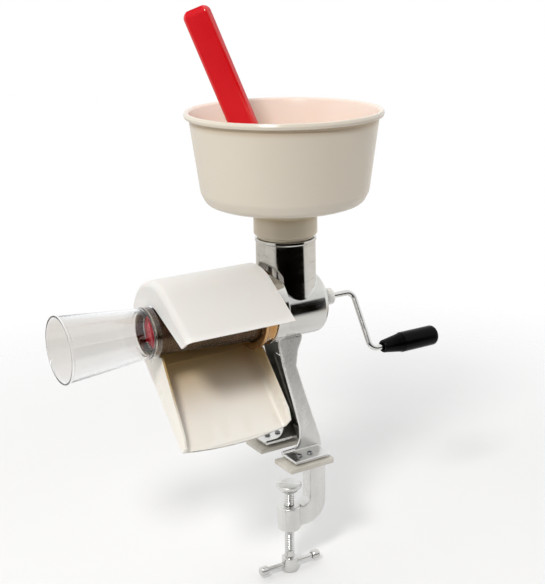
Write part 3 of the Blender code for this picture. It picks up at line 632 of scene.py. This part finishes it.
def casting():
    profile = [(0, MOUTH_X), (BARREL_R - 0.8, MOUTH_X), (BARREL_R, MOUTH_X + 0.8)]
    profile += arc((BARREL_R - BACK_EASE, BACK_X - BACK_EASE), BACK_EASE, 0, 90, 8)
    profile += [(13.2, BACK_X), (12.2, BACK_X + 0.8), (12.0, BACK_X + 2), (12.0, 45.2),
                (11.2, 46.0), (0, 46.0)]
    body = loose(revolve(profile, "X", 144), polished)
    tube = loose(skin(tube_rows(144, 10)), polished)
    rim = soften([(0, -34.0), (41.5, -34.0), (41.5, -20.0), (0, -20.0)], 1.6, 4)
    flange = loose(revolve(rim, "X", 144), polished, place=(0, 0, 3.5))
    solve(body, [tube, flange], "UNION")
    lugs = []
    for turn in (135, 315):
        lug = revolve([(0, 33.5), (2.0, 33.5), (2.0, 37.5), (1.6, 38.0), (0, 38.0)], "Z", 24)
        lugs.append(loose(lug, polished, turn=Matrix.Rotation(radians(turn), 4, "X"),
                          place=(-39.0, 0, 0)))
    solve(body, lugs, "UNION")
    bores = [loose(cylinder(*bore), polished) for bore in (
        (BARREL_BORE, MOUTH_X - 1, BACK_X - 6, "X", 144), (TUBE_BORE, 8, TUBE_TOP + 1, "Z", 144),
        (8.0, BACK_X - 7, 47.0, "X", 48))]
    solve(body, bores, "DIFFERENCE")
    keep(body, "barrel_and_tube", 30, "frame", ["body_casting"])


def leg():
    """Channel leg, feet and clamp arm, with the soft edges of a casting."""
    sole = -172.6
    arm_top, arm_bottom = -69.0 - AXIS_Z, CASTING[0].z + 3
    front = [(-23.0, -30.0), (-22.0, -40.0), (-17.0, -64.0), (-4.0, -112.0), (4.0, -143.0)]
    toe = [(-6.0 + 10 * cos(a), -155.0 + 12 * sin(a))
           for a in (radians(-d) for d in range(0, 91, 15))]
    back = [(34.0, sole), (32.0, -160.0), (14.0, -108.0), (0.5, -66.0), (3.0, -48.0), (8.0, -37.0),
            (8.5, -30.0)]
    flank = soften(front, 30, 4, closed=False) + toe + [(-20.0, -167.2), (-20.0, sole)] + back
    web = [(-7.0, -60.0), (9.0, -112.0), (25.0, -160.0), (27.0, sole)] + back[:4]
    parts = []
    for side in (-1, 1):
        y = sorted((side * 20.0, side * 15.5))
        parts.append(prism(flank, "XZ", y[0] + 0.3, y[1] - 0.3))
        plate = rounded_box((-20.0, 28.0), sorted((side * 19.0, side * 47.0)), 5.0, 5)
        parts.append(prism(plate, "XY", sole, sole + 3.2))
    parts.append(prism(web, "XZ", -16.0, 16.0))
    spine = [(12.0, -150.0), (23.0, -186.0), (25.0, -200.0), (25.0, arm_top + 10)]
    spine += arc((15.0, arm_top + 10), 10, 0, -90, 8)[1:]
    spine += [(-12.0, arm_top), (-12.0, arm_bottom + 5), (-7.0, arm_bottom)]
    spine += arc((20.0, arm_bottom + 26), 26, -90, 0, 10)
    spine += [(46.0, -205.0), (42.0, -186.0), (27.0, -146.0)]
    parts.append(prism(spine, "XZ", -9.0, 9.0))
    parts.append(cylinder(13.5, arm_bottom - 3, arm_top + 3, "Z", 64))
    merged = bmesh.new()
    for part in parts:
        bmesh.ops.recalc_face_normals(part, faces=part.faces)
        mesh = bpy.data.meshes.new("part")
        part.to_mesh(mesh)
        part.free()
        merged.from_mesh(mesh)
        bpy.data.meshes.remove(mesh)
    obj = loose(merged, satin)
    remesh = obj.modifiers.new("remesh", "REMESH")
    remesh.mode = "VOXEL"
    remesh.voxel_size = 0.0009
    ease = obj.modifiers.new("ease", "SMOOTH")
    ease.factor = 0.5
    ease.iterations = 6
    bpy.context.view_layer.update()
    apply_modifiers(obj)
    hole = cylinder(6.1, arm_bottom - 8, arm_top + 8, "Z", 64)
    seat = cylinder(BARREL_R - 0.5, -60, 60, "X", 96)
    solve(obj, [loose(hole, satin), loose(seat, satin)], "DIFFERENCE")

    def in_channel(face):
        x, y, z = face.center / MM
        return (abs(y) < 16.8 and sole + AXIS_Z + 4 < z < AXIS_Z - 37 and face.normal.x < 0.3
                and x < 26)

    # Channel faces take the painted-shade copy.
    repaint(obj, channel_shade_cast, in_channel)
    keep(obj, "leg_and_clamp_arm", 40, "frame")


# ---------------------------------------------------------------- screen side

def collar():
    front, rear = COLLAR[0].x, COLLAR[1].x
    big = COLLAR[1].z
    seat, lip, bore = SCREEN[1].x - 2.1, 33.0, 36.5
    count = 180
    rows = []
    edge = [(lip, front), (big - 1.2, front), (big - 0.3, front + 0.4), (big, front + 1.2),
            (big, front + 3.2), (big - 0.7, front + 4.4)]
    band = [(38.9 + 1.9 * (1 - t) ** 2, front + 4.4 + 5.6 * t) for t in (0.25, 0.5, 0.75, 1.0)]
    tail = [(38.6, rear - 4.2), (38.6, rear - 0.8), (37.9, rear), (bore, rear), (bore, seat),
            (lip, seat)]
    ribs, depth = 60, 0.35
    for radius, x in edge + band + tail:
        rows.append([])
        ribbed = front + 4 < x < rear - 1 and radius > 38
        for i in range(count):
            angle = tau * i / count
            rib = depth * (0.5 + 0.5 * cos(angle * ribs)) if ribbed else 0.0
            rows[-1].append((x, (radius - rib) * cos(angle), (radius - rib) * sin(angle)))
    obj = loose(skin(rows, close_rows=True), collar_look, sharp=28)
    slots = []
    for turn in (0.0, pi):
        for start, end, far in ((128, 172, -36.4), (160, 172, rear + 1)):
            outline = arc((0, 0), 34.5, start, end, 10) + arc((0, 0), 44.0, end, start, 10)
            slots.append(loose(prism(outline, "YZ", -41.6, far), collar_look,
                               turn=Matrix.Rotation(radians(90) + turn, 4, "X")))
    solve(obj, slots, "DIFFERENCE")
    keep(obj, "collar_ring", 28, "collar", ["screen_collar"])


def screen():
    """Tapered screen with real staggered holes, between two plain bands."""
    left, right = SCREEN[0].x, SCREEN[1].x
    small, large, wall = SCREEN_SMALL, SCREEN_LARGE, 1.0
    around, along, hole = 60, 40, 0.29
    start, stop = left + 6.0, right - 7.0
    step = (stop - start) / along

    def radius(x):
        return small + (large - small) * (x - left) / (right - 3.4 - left)

    verts, faces = [], []

    def vertex(x, turn, inset):
        angle = tau * turn / around
        r = radius(x) - inset
        verts.append((x, r * cos(angle), r * sin(angle)))
        return len(verts) - 1

    layers, n = [], 2 * around
    for inset in (0.0, wall):
        lines = [[vertex(start + i * step, k / 2, inset) for k in range(n)]
                 for i in range(along + 1)]
        middles = [[vertex(start + (i + 0.5) * step, j + i % 2 / 2, inset) for j in range(around)]
                   for i in range(along)]
        holes = []
        for i in range(along):
            for j in range(around):
                eight = [vertex(start + (i + 0.5 + hole * sin(pi / 4 * k)) * step,
                                j + 0.5 + i % 2 / 2 + hole * cos(pi / 4 * k), inset)
                         for k in range(8)]
                holes.append(eight)
                k = 2 * j + i % 2
                rim = [middles[i][(j + 1) % around], lines[i + 1][(k + 2) % n],
                       lines[i + 1][(k + 1) % n], lines[i + 1][k % n], middles[i][j],
                       lines[i][k % n], lines[i][(k + 1) % n], lines[i][(k + 2) % n]]
                for m in range(8):
                    quad = (rim[m], rim[(m + 1) % 8], eight[(m + 1) % 8], eight[m])
                    faces.append(tuple(reversed(quad)) if inset else quad)
        layers.append((lines[0], lines[-1], holes))
    for outer, inner in zip(layers[0][2], layers[1][2]):
        for m in range(8):
            faces.append((outer[m], outer[(m + 1) % 8], inner[(m + 1) % 8], inner[m]))

    def ring(x, r):
        verts.extend((x, y, z) for y, z in circle(n, r))
        return list(range(len(verts) - n, len(verts)))

    head = [layers[0][0], ring(left, small), ring(left, small - wall), layers[1][0]]
    flange = [layers[0][1], ring(right - 3.4, large), ring(right - 2.6, large + 0.2),
              ring(right - 1.9, large + 1.0), ring(right - 1.2, large + 1.9),
              ring(right - 1.2, 35.6), ring(right, 35.6), ring(right, large - wall),
              ring(right - 3.4, large - wall), layers[1][1]]
    for chain in (head, flange):
        for first, second in zip(chain, chain[1:]):
            for k in range(n):
                m = (k + 1) % n
                faces.append((first[k], first[m], second[m], second[k]))
    mesh = bpy.data.meshes.new("screen")
    mesh.from_pydata(verts, [], faces)
    bm = bmesh.new()
    bm.from_mesh(mesh)
    bpy.data.meshes.remove(mesh)
    piece("perforated_screen", bm, shaded_screen_look, "frame", "stainless", ["strainer_screen"], sharp=40)
    low, high = extent("screen_end_ring")
    roll = low.x + 1.9
    lip = rounded_box((24.75, 26.0), (low.x, roll), 0.7, 5)
    piece("screen_rolled_end", revolve(lip, "X", 128), ring_look, "frame", "stainless",
          ["screen_end_ring"])
    sleeve = rounded_box((24.8, 25.35), (roll, high.x), 0.2, 3)
    piece("screen_end_sleeve", revolve(sleeve, "X", 128), shaded_screen_look, "frame", "stainless")
    ring_piece("seal_ring", "screen_seal", 32.6, 0.35, grey_rubber, "frame", "grey_rubber",
               segments=96)


def auger():
    """One closed skin: a tapered core with a helical flight that swells out of it."""
    left, right = AUGER[0].x, AUGER[1].x
    pitch, half, count = 42.0, 2.5, 96
    begin, end = left + 4.0, right - 8.0
    stations = [left + (right - left) * i / 250 for i in range(251)]
    bore, closing = 3.6, 0.01
    rows = [[(left, y, z) for y, z in circle(count, closing)]]
    for x in stations:
        if x < left + 2:
            core = 8.0 + 2.0 * sqrt(max(0.0, 1 - ((left + 2 - x) / 2) ** 2))
        elif left + 2.7 < x < left + 10.2:
            slope = max((x - left - 5.5) / 4.7, 0.0)
            core = 18.4 - 8.4 * slope - 0.5 * max(1 - (x - left - 2.7) / 0.5, 0.0)
        elif x < -60:
            core = 10.0
        elif x < -20:
            core = 10.0 + 4.0 * (x + 60) / 40
        else:
            core = 14.0 + (x + 20) / (right - 2 + 20)
        if x > right - 2:
            core = 13.0 + 2.0 * sqrt(max(0.0, 1 - ((x - right + 2) / 2) ** 2))
        share = min((x - SCREEN[0].x) / (SCREEN[1].x - SCREEN[0].x), 1.0)
        tip = SCREEN_SMALL + (SCREEN_LARGE - SCREEN_SMALL) * share - 2.0
        row = []
        for i in range(count):
            turn = i / count
            helix = begin + pitch * ((turn + 0.125) % 1.0)
            nearest = round((x - helix) / pitch)
            nearest = max(0, min(nearest, math.floor((end - helix) / pitch)))
            away = abs(x - helix - pitch * nearest)
            rise = min(max((half + 1.1 - away) / 2.0, 0.0), 1.0)
            rise = rise * rise * (3 - 2 * rise)
            radius = core + (tip - core) * rise
            row.append((x, radius * cos(tau * turn), radius * sin(tau * turn)))
        rows.append(row)
    rows += [[(x, y, z) for y, z in circle(count, bore)] for x in (right, -12.0)]
    piece("feed_auger", skin(rows), crimson, "crank", "red_plastic", ["auger"], sharp=40)


def funnel():
    mouth, near = FUNNEL[0].x, FUNNEL[1].x
    sleeve, wall, big, step = SLEEVE_R, 1.6, FUNNEL[1].z, -177.0
    outer = [(sleeve + 0.9, near), (sleeve + 1.2, step + 1.5), (sleeve + wall - 1.2, step - 2),
             (big - 0.9, mouth + 4), (big, mouth + 2.0), (big, mouth)]
    inner = [(big - wall, mouth), (big - wall - 0.7, mouth + 4), (sleeve - 2.2, step - 1),
             (sleeve - 2.2, step + 1.6), (sleeve, step + 1.6), (sleeve, near)]
    piece("clear_waste_funnel", revolve(soften(outer + inner, 1.0, 4), "X", 144), clear, "funnel",
          "clear_plastic", ["waste_funnel"])


def shield():
    """Arch, front flap and end wall, with a soft shoulder between them."""
    radius, wall, floor_x = 53.5, 2.0, 2.4
    rear, slope = radians(16.0), radians(34.5)
    edge_y = SHIELD[0].y
    notch_r, tab, shoulder = 27.4, Vector((-65.0, 0.0)), 7.5
    last = pi / 2 + slope
    arch_steps, flap_steps = 56, 8
    corner = Vector((radius * cos(last), radius * sin(last)))
    edge = Vector((edge_y, corner.y + (edge_y - corner.x) * tan(slope)))
    inward = (tab - edge).normalized()

    angles = [rear + (last - rear) * i / arch_steps for i in range(arch_steps + 1)]

    def path(offset):
        points = [Vector(((radius - offset) * cos(a), (radius - offset) * sin(a))) for a in angles]
        out = edge + inward * offset
        start = points[-1]
        return points + [start.lerp(out, (i + 1) / flap_steps) for i in range(flap_steps)]

    tangent = pi - acos(notch_r / -tab.x)
    touch = Vector((cos(tangent), sin(tangent))) * notch_r
    notch = [Vector((cos(min(a, tangent)), sin(min(a, tangent)))) * notch_r for a in angles]
    clamped = sum(1 for a in angles if a > tangent)
    for i in range(clamped):
        notch[arch_steps - clamped + 1 + i] = touch.lerp(tab, 0.25 * (i + 1) / (clamped + 1))
    notch += [touch.lerp(tab, 0.25 + 0.75 * (i + 1) / flap_steps) for i in range(flap_steps)]
    left, right = SHIELD[0].x, SHIELD[1].x
    loops = [(left, notch)]
    for i in range(9):
        a = pi / 2 * i / 8
        loops.append((left + shoulder * (1 - cos(a)), path(shoulder * (1 - sin(a)))))
    for i in range(1, 12):
        loops.append((left + shoulder + (right - left - shoulder) * i / 12, path(0)))
    loops += [(right - 0.5, path(0)), (right - 0.15, path(0.15)), (right, path(0.5)),
              (right, path(wall - 0.5)), (right - 0.15, path(wall - 0.15)),
              (right - 0.5, path(wall))]
    for i in range(11, 0, -1):
        loops.append((left + shoulder + (right - left - shoulder) * i / 12, path(wall)))
    inner = shoulder - wall
    for i in range(8, -1, -1):
        a = pi / 2 * i / 8
        loops.append((left + floor_x + (shoulder - floor_x) * (1 - cos(a)),
                      path(wall + inner * (1 - sin(a)))))
    loops.append((left + floor_x, notch))
    bm = bmesh.new()
    rows = [[bm.verts.new((x, p[0], p[1])) for p in points] for x, points in loops]
    for first, second in zip(rows, rows[1:] + rows[:1]):
        for i in range(len(first) - 1):
            bm.faces.new((first[i], first[i + 1], second[i + 1], second[i]))
    bm.faces.new([row[0] for row in rows])
    bm.faces.new([row[-1] for row in reversed(rows)])
    piece("shield_shell", bm, shield_cream, "shield", "cream_plastic", ["splatter_shield"],
          sharp=38)


def chute():
    left, right = CHUTE[0].x, CHUTE[1].x
    wall, length, skin_gap = 2.2, 112.0, 0.4
    slope = radians(44.0)
    c, s = cos(slope), sin(slope)

    def slant(along, up):
        return (-53.5 + along * c - up * s, -124.0 + along * s + up * c)

    middle, half = (left + right) / 2, (right - left) / 2
    bow, fillet = 5.5, 6.0
    heights = (11.5, 16.5)

    def front(x):
        t = (x - middle) / half
        return -skin_gap + bow * t * t

    section = [(left + 0.3, -0.2), (left + 0.3, heights[0])]
    section += [(left + wall, heights[0])]
    section += arc((left + wall + fillet, wall + fillet), fillet, 180, 270, 8)
    section += [(left + wall + fillet + (right - left - 2 * wall - 2 * fillet) * i / 12, wall)
                for i in range(1, 12)]
    section += arc((right - wall - fillet, wall + fillet), fillet, 270, 360, 8)
    section += [(right - wall, heights[1]), (right - 0.3, heights[1]), (right - 0.3, -0.2)]
    section += [(right - 0.3 - (right - left - 0.6) * i / 16, -0.2) for i in range(1, 16)]
    rows = []
    for along in (None, 10.0, 40.0, 80.0, length):
        rows.append([(x, *slant(front(x) if along is None else along, up)) for x, up in section])
    tray = loose(skin(rows), chute_cream)
    lip = bow - skin_gap
    heel, toe = slant(length + skin_gap, -skin_gap), slant(lip, -skin_gap)
    left_side = [toe, heel, (39.0, -38.0), (38.6, -10.0)] + arc((0, 0), 28.6, -12, -112, 20)
    left_side += [slant(17.0, 18.0)] + [slant(lip + 2.5, 12.5), slant(lip, 9.0)]
    right_side = [toe, heel, (47.0, -28.0), (46.4, -8.6)]
    right_side += arc((0, 0), COLLAR[1].z + 0.6, -12, -96, 18)
    right_side += [slant(17.0, 21.5)] + [slant(lip + 2.5, 17.0), slant(lip, 13.0)]
    rear_y, rear_top = 37.4, -25.0
    rear = [slant(length - 4, 0.5), (rear_y, -38.5), (rear_y, rear_top), (rear_y - wall, rear_top),
            (rear_y - wall, -37.0), slant(length - 6, wall + 1)]
    strap = [(37.8, -37.5)] + arc((0, 0), 37.8, 0, 62, 20) + arc((0, 0), 35.4, 62, 0, 20)
    strap += [(35.4, -36.0)]
    helpers = [loose(prism(outline, "YZ", start, stop), chute_cream) for outline, start, stop in (
        (left_side, left, left + wall), (right_side, right - wall, right),
        (rear, left + 0.8, right - 0.8), (strap, -128.0, -78.0))]
    solve(tray, helpers, "UNION")
    bevel(tray, 0.55)
    uphill = Vector((0, -s, c))

    def faces_in(face):
        x, y, z = face.center / MM
        inward = abs(face.normal.x) > 0.7 and face.normal.x * (x - middle) < 0
        return z < AXIS_Z - 26 and (face.normal.dot(uphill) > 0.3 or inward)

    # Inner faces take the copy with the painted shade.
    repaint(tray, shaded_chute_inside, faces_in)
    keep(tray, "chute_tray", 42, "frame", ["sauce_chute"])


# ---------------------------------------------------------------- crank

def sweep(points, radius, sides, dome=0.0):
    """A round bar along a row of points."""
    rows = []
    across = None
    for i, point in enumerate(points):
        before, after = points[max(i - 1, 0)], points[min(i + 1, len(points) - 1)]
        tangent = ((after - point).normalized() + (point - before).normalized()).normalized()
        if across is None:
            across = tangent.orthogonal().normalized()
        across = (across - tangent * across.dot(tangent)).normalized()
        third = tangent.cross(across)
        size = radius - dome if i in (0, len(points) - 1) else radius
        rows.append([point + across * size * cos(tau * j / sides)
                     + third * size * sin(tau * j / sides) for j in range(sides)])
    return skin(rows)


def bent(corners, radius, steps):
    points = [corners[0], corners[0] + (corners[1] - corners[0]).normalized() * 0.6]
    for before, corner, after in zip(corners, corners[1:], corners[2:]):
        back, ahead = (before - corner).normalized(), (after - corner).normalized()
        half = back.angle(ahead) / 2
        reach = radius / tan(half)
        centre = corner + (back + ahead).normalized() * radius / sin(half)
        begin, leave = corner + back * reach - centre, corner + ahead * reach - centre
        points += [centre + begin.normalized().slerp(leave.normalized(), i / steps) * radius
                   for i in range(steps + 1)]
    points += [corners[-1] - (corners[-1] - corners[-2]).normalized() * 0.6, corners[-1]]
    return points


def crank():
    corners = [Vector((ROD[0].x, 0, 0)), Vector((CRANK_X, 0, 0)), Vector((CRANK_X, GRIP_Y, GRIP_Z)),
               Vector((ROD[1].x, GRIP_Y, GRIP_Z))]
    piece("bent_rod", sweep(bent(corners, 9.0, 18), ROD_R, 36, 0.5), steel, "crank", "bright_steel",
          ["crank_rod"], sharp=40)
    ring_piece("stop_clip", "crank_clip", 3.6, 0.5, dark_steel, "crank", "dark_steel")
    bush = soften([(3.6, 30.4), (7.7, 30.4), (7.7, 46.3), (9.4, 46.3), (9.4, 60.0), (3.6, 60.0)],
                  1.0, 4)
    piece("bushing_sleeve", revolve(bush, "X", 96), nylon, "frame", "white_nylon", ["rear_bushing"])
    ring_piece("slip_washer", "thrust_washer", 3.6, 0.3, nylon, "crank", "white_nylon")
    low, high = extent("auger_spring")
    wire, mean, turns, steps = 0.9, 9.0, 4, 160
    coil = [Vector((low.x + wire + (high.x - low.x - 2 * wire) * i / steps,
                    mean * cos(tau * turns * i / steps),
                    mean * sin(tau * turns * i / steps))) for i in range(steps + 1)]
    piece("coil_spring", sweep(coil, wire, 10), steel, "crank", "bright_steel", ["auger_spring"])


def grip():
    nose, end = GRIP[0].x, GRIP[1].x + 1.2
    big = (GRIP[1].z - GRIP[0].z) / 2
    seat = end - 14.0
    front = [(3.6, nose + 3.0), (5.0, nose + 0.6), (5.6, nose), (6.6, nose), (7.4, nose + 1.2),
             (big - 1.1, nose + 23.6), (big - 0.3, nose + 25.4), (big - 0.05, nose + 26.2),
             (big, nose + 27.5)]
    tail = [(big, end - 8.0)] + arc((big - 5.5, end - 6.3), 5.5, 12, 62, 8)
    tail += [(6.6, end - 1.2), (6.6, seat), (3.6, seat)]
    profile = soften(front[:4], 0.3, 2, closed=False) + front[4:] + tail
    place = (0, GRIP_Y, GRIP_Z)
    piece("grip_handle", revolve(profile, "X", 96), black, "grip", "black_plastic", ["crank_grip"],
          place=place, sharp=24)
    plug = [(0, seat + 5.6), (6.2, seat + 5.6), (6.2, end - 1.2), (5.6, end - 0.8),
            (4.2, end - 0.3), (2.0, end - 0.05), (0, end)]
    piece("grip_cap", revolve(plug, "X", 96), black, "grip", "black_plastic", ["grip_end_plug"],
          place=place)
    ring_piece("push_nut", "grip_push_nut", 3.4, 0.3, steel, "crank", "bright_steel", outer=5.9,
               place=place)


# ---------------------------------------------------------------- feet and clamp

def feet():
    table = -AXIS_Z
    for side, name in ((-1, "front"), (1, "rear")):
        outline = rounded_box((-28.0, 31.0), sorted((side * 14.5, side * 50.0)), 4.0, 6)
        pad = loose(prism(outline, "XY", table, table + 5.5), pale_rubber)
        step = rounded_box((-16.0, 24.0), sorted((side * 23.0, side * 44.0)), 3.0, 5)
        solve(pad, [loose(prism(step, "XY", table + 4.5, table + 8.1), pale_rubber)], "UNION")
        bevel(pad, 0.7)
        keep(pad, "pad_" + name, 40, "frame", ["foot_pad_" + name])
        for number in (1, 2):
            node = f"foot_screw_{name}_{number}"
            low, high = extent(node)
            centre = ((low.x + high.x) / 2, (low.y + high.y) / 2, 0)
            size = (high.x - low.x) / 2
            head = [(0, low.z), (1.8, low.z), (1.8, high.z - 1.9), (size, high.z - 1.9),
                    (size, high.z - 0.9), (size * 0.86, high.z - 0.3), (size * 0.6, high.z),
                    (0, high.z)]
            screw = loose(revolve(head, "Z", 48), dark_steel, place=centre)
            hexagon = prism(circle(6, 1.35), "XY", high.z - 1.2, high.z + 1)
            solve(screw, [loose(hexagon, dark_steel, place=centre)], "DIFFERENCE")
            keep(screw, f"socket_screw_{name}_{number}", 35, "frame", [node])


def clamp():
    low, high = extent("clamp_cup")
    top, bottom = high.z, low.z
    cup = [(0, top), (14.2, top), (15.0, top - 0.8), (15.0, top - 3.5), (10.5, bottom),
           (6.3, bottom), (6.3, bottom + 4.5), (0, bottom + 4.5)]
    piece("pressure_cup", revolve(soften(cup, 0.8, 4), "Z", 96), satin, "clamp_cup",
          "cast_aluminium", ["clamp_cup"])
    low, high = extent("clamp_screw")
    count, pitch, depth, radius, closing = 64, 3.0, 0.75, 5.8, 0.01
    head_top, head = low.z + 17.0, low.z
    step = pitch / 8
    stations = [high.z - 1.0 - step * i for i in range(int((high.z - 1.0 - head_top) / step))]
    rows = [[(x, y, high.z) for x, y in circle(count, r)] for r in (closing, 4.4)]
    for z in stations:
        row = []
        fade = min((high.z - 3.0 - z) / 4.0, (z - head_top - 6.0) / 6.0, 1.0)
        for i in range(count):
            turn = i / count
            phase = abs(2 * (((z - high.z) / pitch - turn) % 1.0) - 1)
            cut = depth * max(fade, 0.0) * min(max(1.35 - 1.7 * phase, 0.0), 1.0)
            row.append(((radius - cut) * cos(tau * turn),
                        (radius - cut) * sin(tau * turn), z))
        rows.append(row)
    for r, z in ((radius, head_top), (8.5, head_top), (9.3, head_top - 0.3), (9.5, head_top - 1.0),
                 (9.5, head + 1.0), (9.3, head + 0.3), (8.5, head), (closing, head)):
        rows.append([(x, y, z) for x, y in circle(count, r)])
    screw = loose(skin(rows), steel, sharp=50)
    middle = (head + head_top) / 2
    hole = loose(cylinder(3.3, -12, 12, "X", 48), steel, place=(0, 0, middle))
    solve(screw, [hole], "DIFFERENCE")
    keep(screw, "threaded_screw", 40, "clamp_screw", ["clamp_screw"])
    ring_piece("sliding_bar", "clamp_bar", 0, 0.6, steel, "clamp_bar", "bright_steel", outer=3.0,
               place=(0, 0, middle))
    for side, name in ((-1, "a"), (1, "b")):
        low, high = extent("clamp_bar_knob_" + name)
        near, far = (low.x, high.x) if side > 0 else (-high.x, -low.x)
        knob = soften([(3.35, near), (4.6, near), (5.6, near + 1.5), (5.6, near + 8.2),
                       (4.2, far), (0, far), (0, near + 8.4), (3.35, near + 8.4)], 1.0, 4)
        knob = [(radius, side * x) for radius, x in knob]
        piece("bar_knob_" + name, revolve(knob, "X", 64), steel, "clamp_bar", "bright_steel",
              ["clamp_bar_knob_" + name], place=(0, 0, middle))


for build in (hopper, pusher, casting, leg, collar, screen, auger, funnel, shield, chute, crank,
              grip, feet, clamp):
    build()


# ---------------------------------------------------------------- floor, light and camera

def floor():
    under = (0, 0, cad_box[0][2] - 0.0005)
    bpy.ops.mesh.primitive_circle_add(vertices=96, radius=1.15, fill_type="NGON", location=under)
    disc = bpy.context.object
    disc.name = "floor"
    made, shader = new_material("pale_floor", 0.6)
    shader.inputs["Base Color"].default_value = (0.84, 0.84, 0.84, 1)
    tree = made.node_tree
    far = length(tree, add(tree, "TexCoord").outputs["Object"])
    fade = spread(tree, far, 1.0, 0.0, 0.45, 1.1)
    tree.links.new(fade, shader.inputs["Alpha"])
    disc.data.materials.append(made)


def sky():
    """White all round, with a dark room in front of the object that the polished metal mirrors."""
    world = bpy.data.worlds.new("studio")
    scene.world = world
    world.use_nodes = True
    tree = world.node_tree
    tree.nodes.clear()

    def calc(operation, *values):
        return arithmetic(tree, operation, *values)

    def step(value, start, stop):
        return smooth_step(tree, value, start, stop)

    def without(value):
        return calc("SUBTRACT", 1.0, value)

    def toward(degrees):
        """1 in a direction round the horizon, down to 0 at a right angle from it."""
        return calc("MAXIMUM", 0.0, calc("COSINE", calc("SUBTRACT", azimuth, radians(degrees))))

    x, y, z = add(tree, "SeparateXYZ", Vector=add(tree, "TexCoord").outputs["Generated"]).outputs
    azimuth = calc("ARCTAN2", y, x)
    start, stop, edge = radians(-160), radians(-50), radians(2.5)
    inside = calc("MULTIPLY", step(azimuth, start - edge, start + edge),
                  without(step(azimuth, stop - edge, stop + edge)))
    level = calc("MULTIPLY", step(z, -0.44, -0.38), without(step(z, 0.22, 0.30)))
    high = blend_colour(tree, step(z, 0.2, 1.0), (0.90, 0.91, 0.92), (0.86, 0.85, 0.84))
    white = blend_colour(tree, without(step(z, -0.35, 0.05)), high, (0.62, 0.58, 0.53))
    room = blend_colour(tree, calc("MULTIPLY", inside, level), white, (0.004, 0.003, 0.002))
    dimmed = calc("SUBTRACT", calc("ADD", 1.0, calc("MULTIPLY", 0.14, toward(-8))),
                  calc("MULTIPLY", 0.78, calc("POWER", toward(-107), 3.0)))
    around = add(tree, "Background", Color=room, Strength=calc("MULTIPLY", 1.12, dimmed))
    plain = add(tree, "Background", Color=(1, 1, 1, 1))
    pick = add(tree, "MixShader", Fac=add(tree, "LightPath").outputs["Is Camera Ray"])
    tree.links.new(around.outputs[0], pick.inputs[1])
    tree.links.new(plain.outputs[0], pick.inputs[2])
    add(tree, "OutputWorld", Surface=pick.outputs[0])


def key_light():
    """A soft disc above the object, to the left of the camera."""
    data = bpy.data.lights.new("key", "AREA")
    data.shape = "DISK"
    data.size = 0.42
    data.energy = 27.0
    data.color = (1.0, 0.985, 0.96)
    obj = bpy.data.objects.new("key", data)
    way = Vector((-0.595, -0.482, 0.643)).normalized()
    obj.location = Vector((-0.03, -0.02, 0.24)) + way * 2.2
    obj.rotation_euler = way.to_track_quat("Z", "Y").to_euler()
    scene.collection.objects.link(obj)


def camera():
    data = bpy.data.cameras.new("camera")
    data.lens = 70.7
    data.sensor_width = 36.0
    data.clip_start = 0.01
    obj = bpy.data.objects.new("camera", data)
    right = Vector((0.8503, -0.5260, -0.0161))
    up = Vector((0.1649, 0.2373, 0.9573))
    back = Vector((-0.4998, -0.8167, 0.2885))
    turn = Matrix((right, up, back)).transposed().to_quaternion().to_matrix().to_4x4()
    obj.matrix_world = Matrix.Translation((-0.6514, -1.0351, 0.5647)) @ turn
    scene.collection.objects.link(obj)
    scene.camera = obj


floor()
sky()
key_light()
camera()
scene.view_settings.view_transform = "Standard"
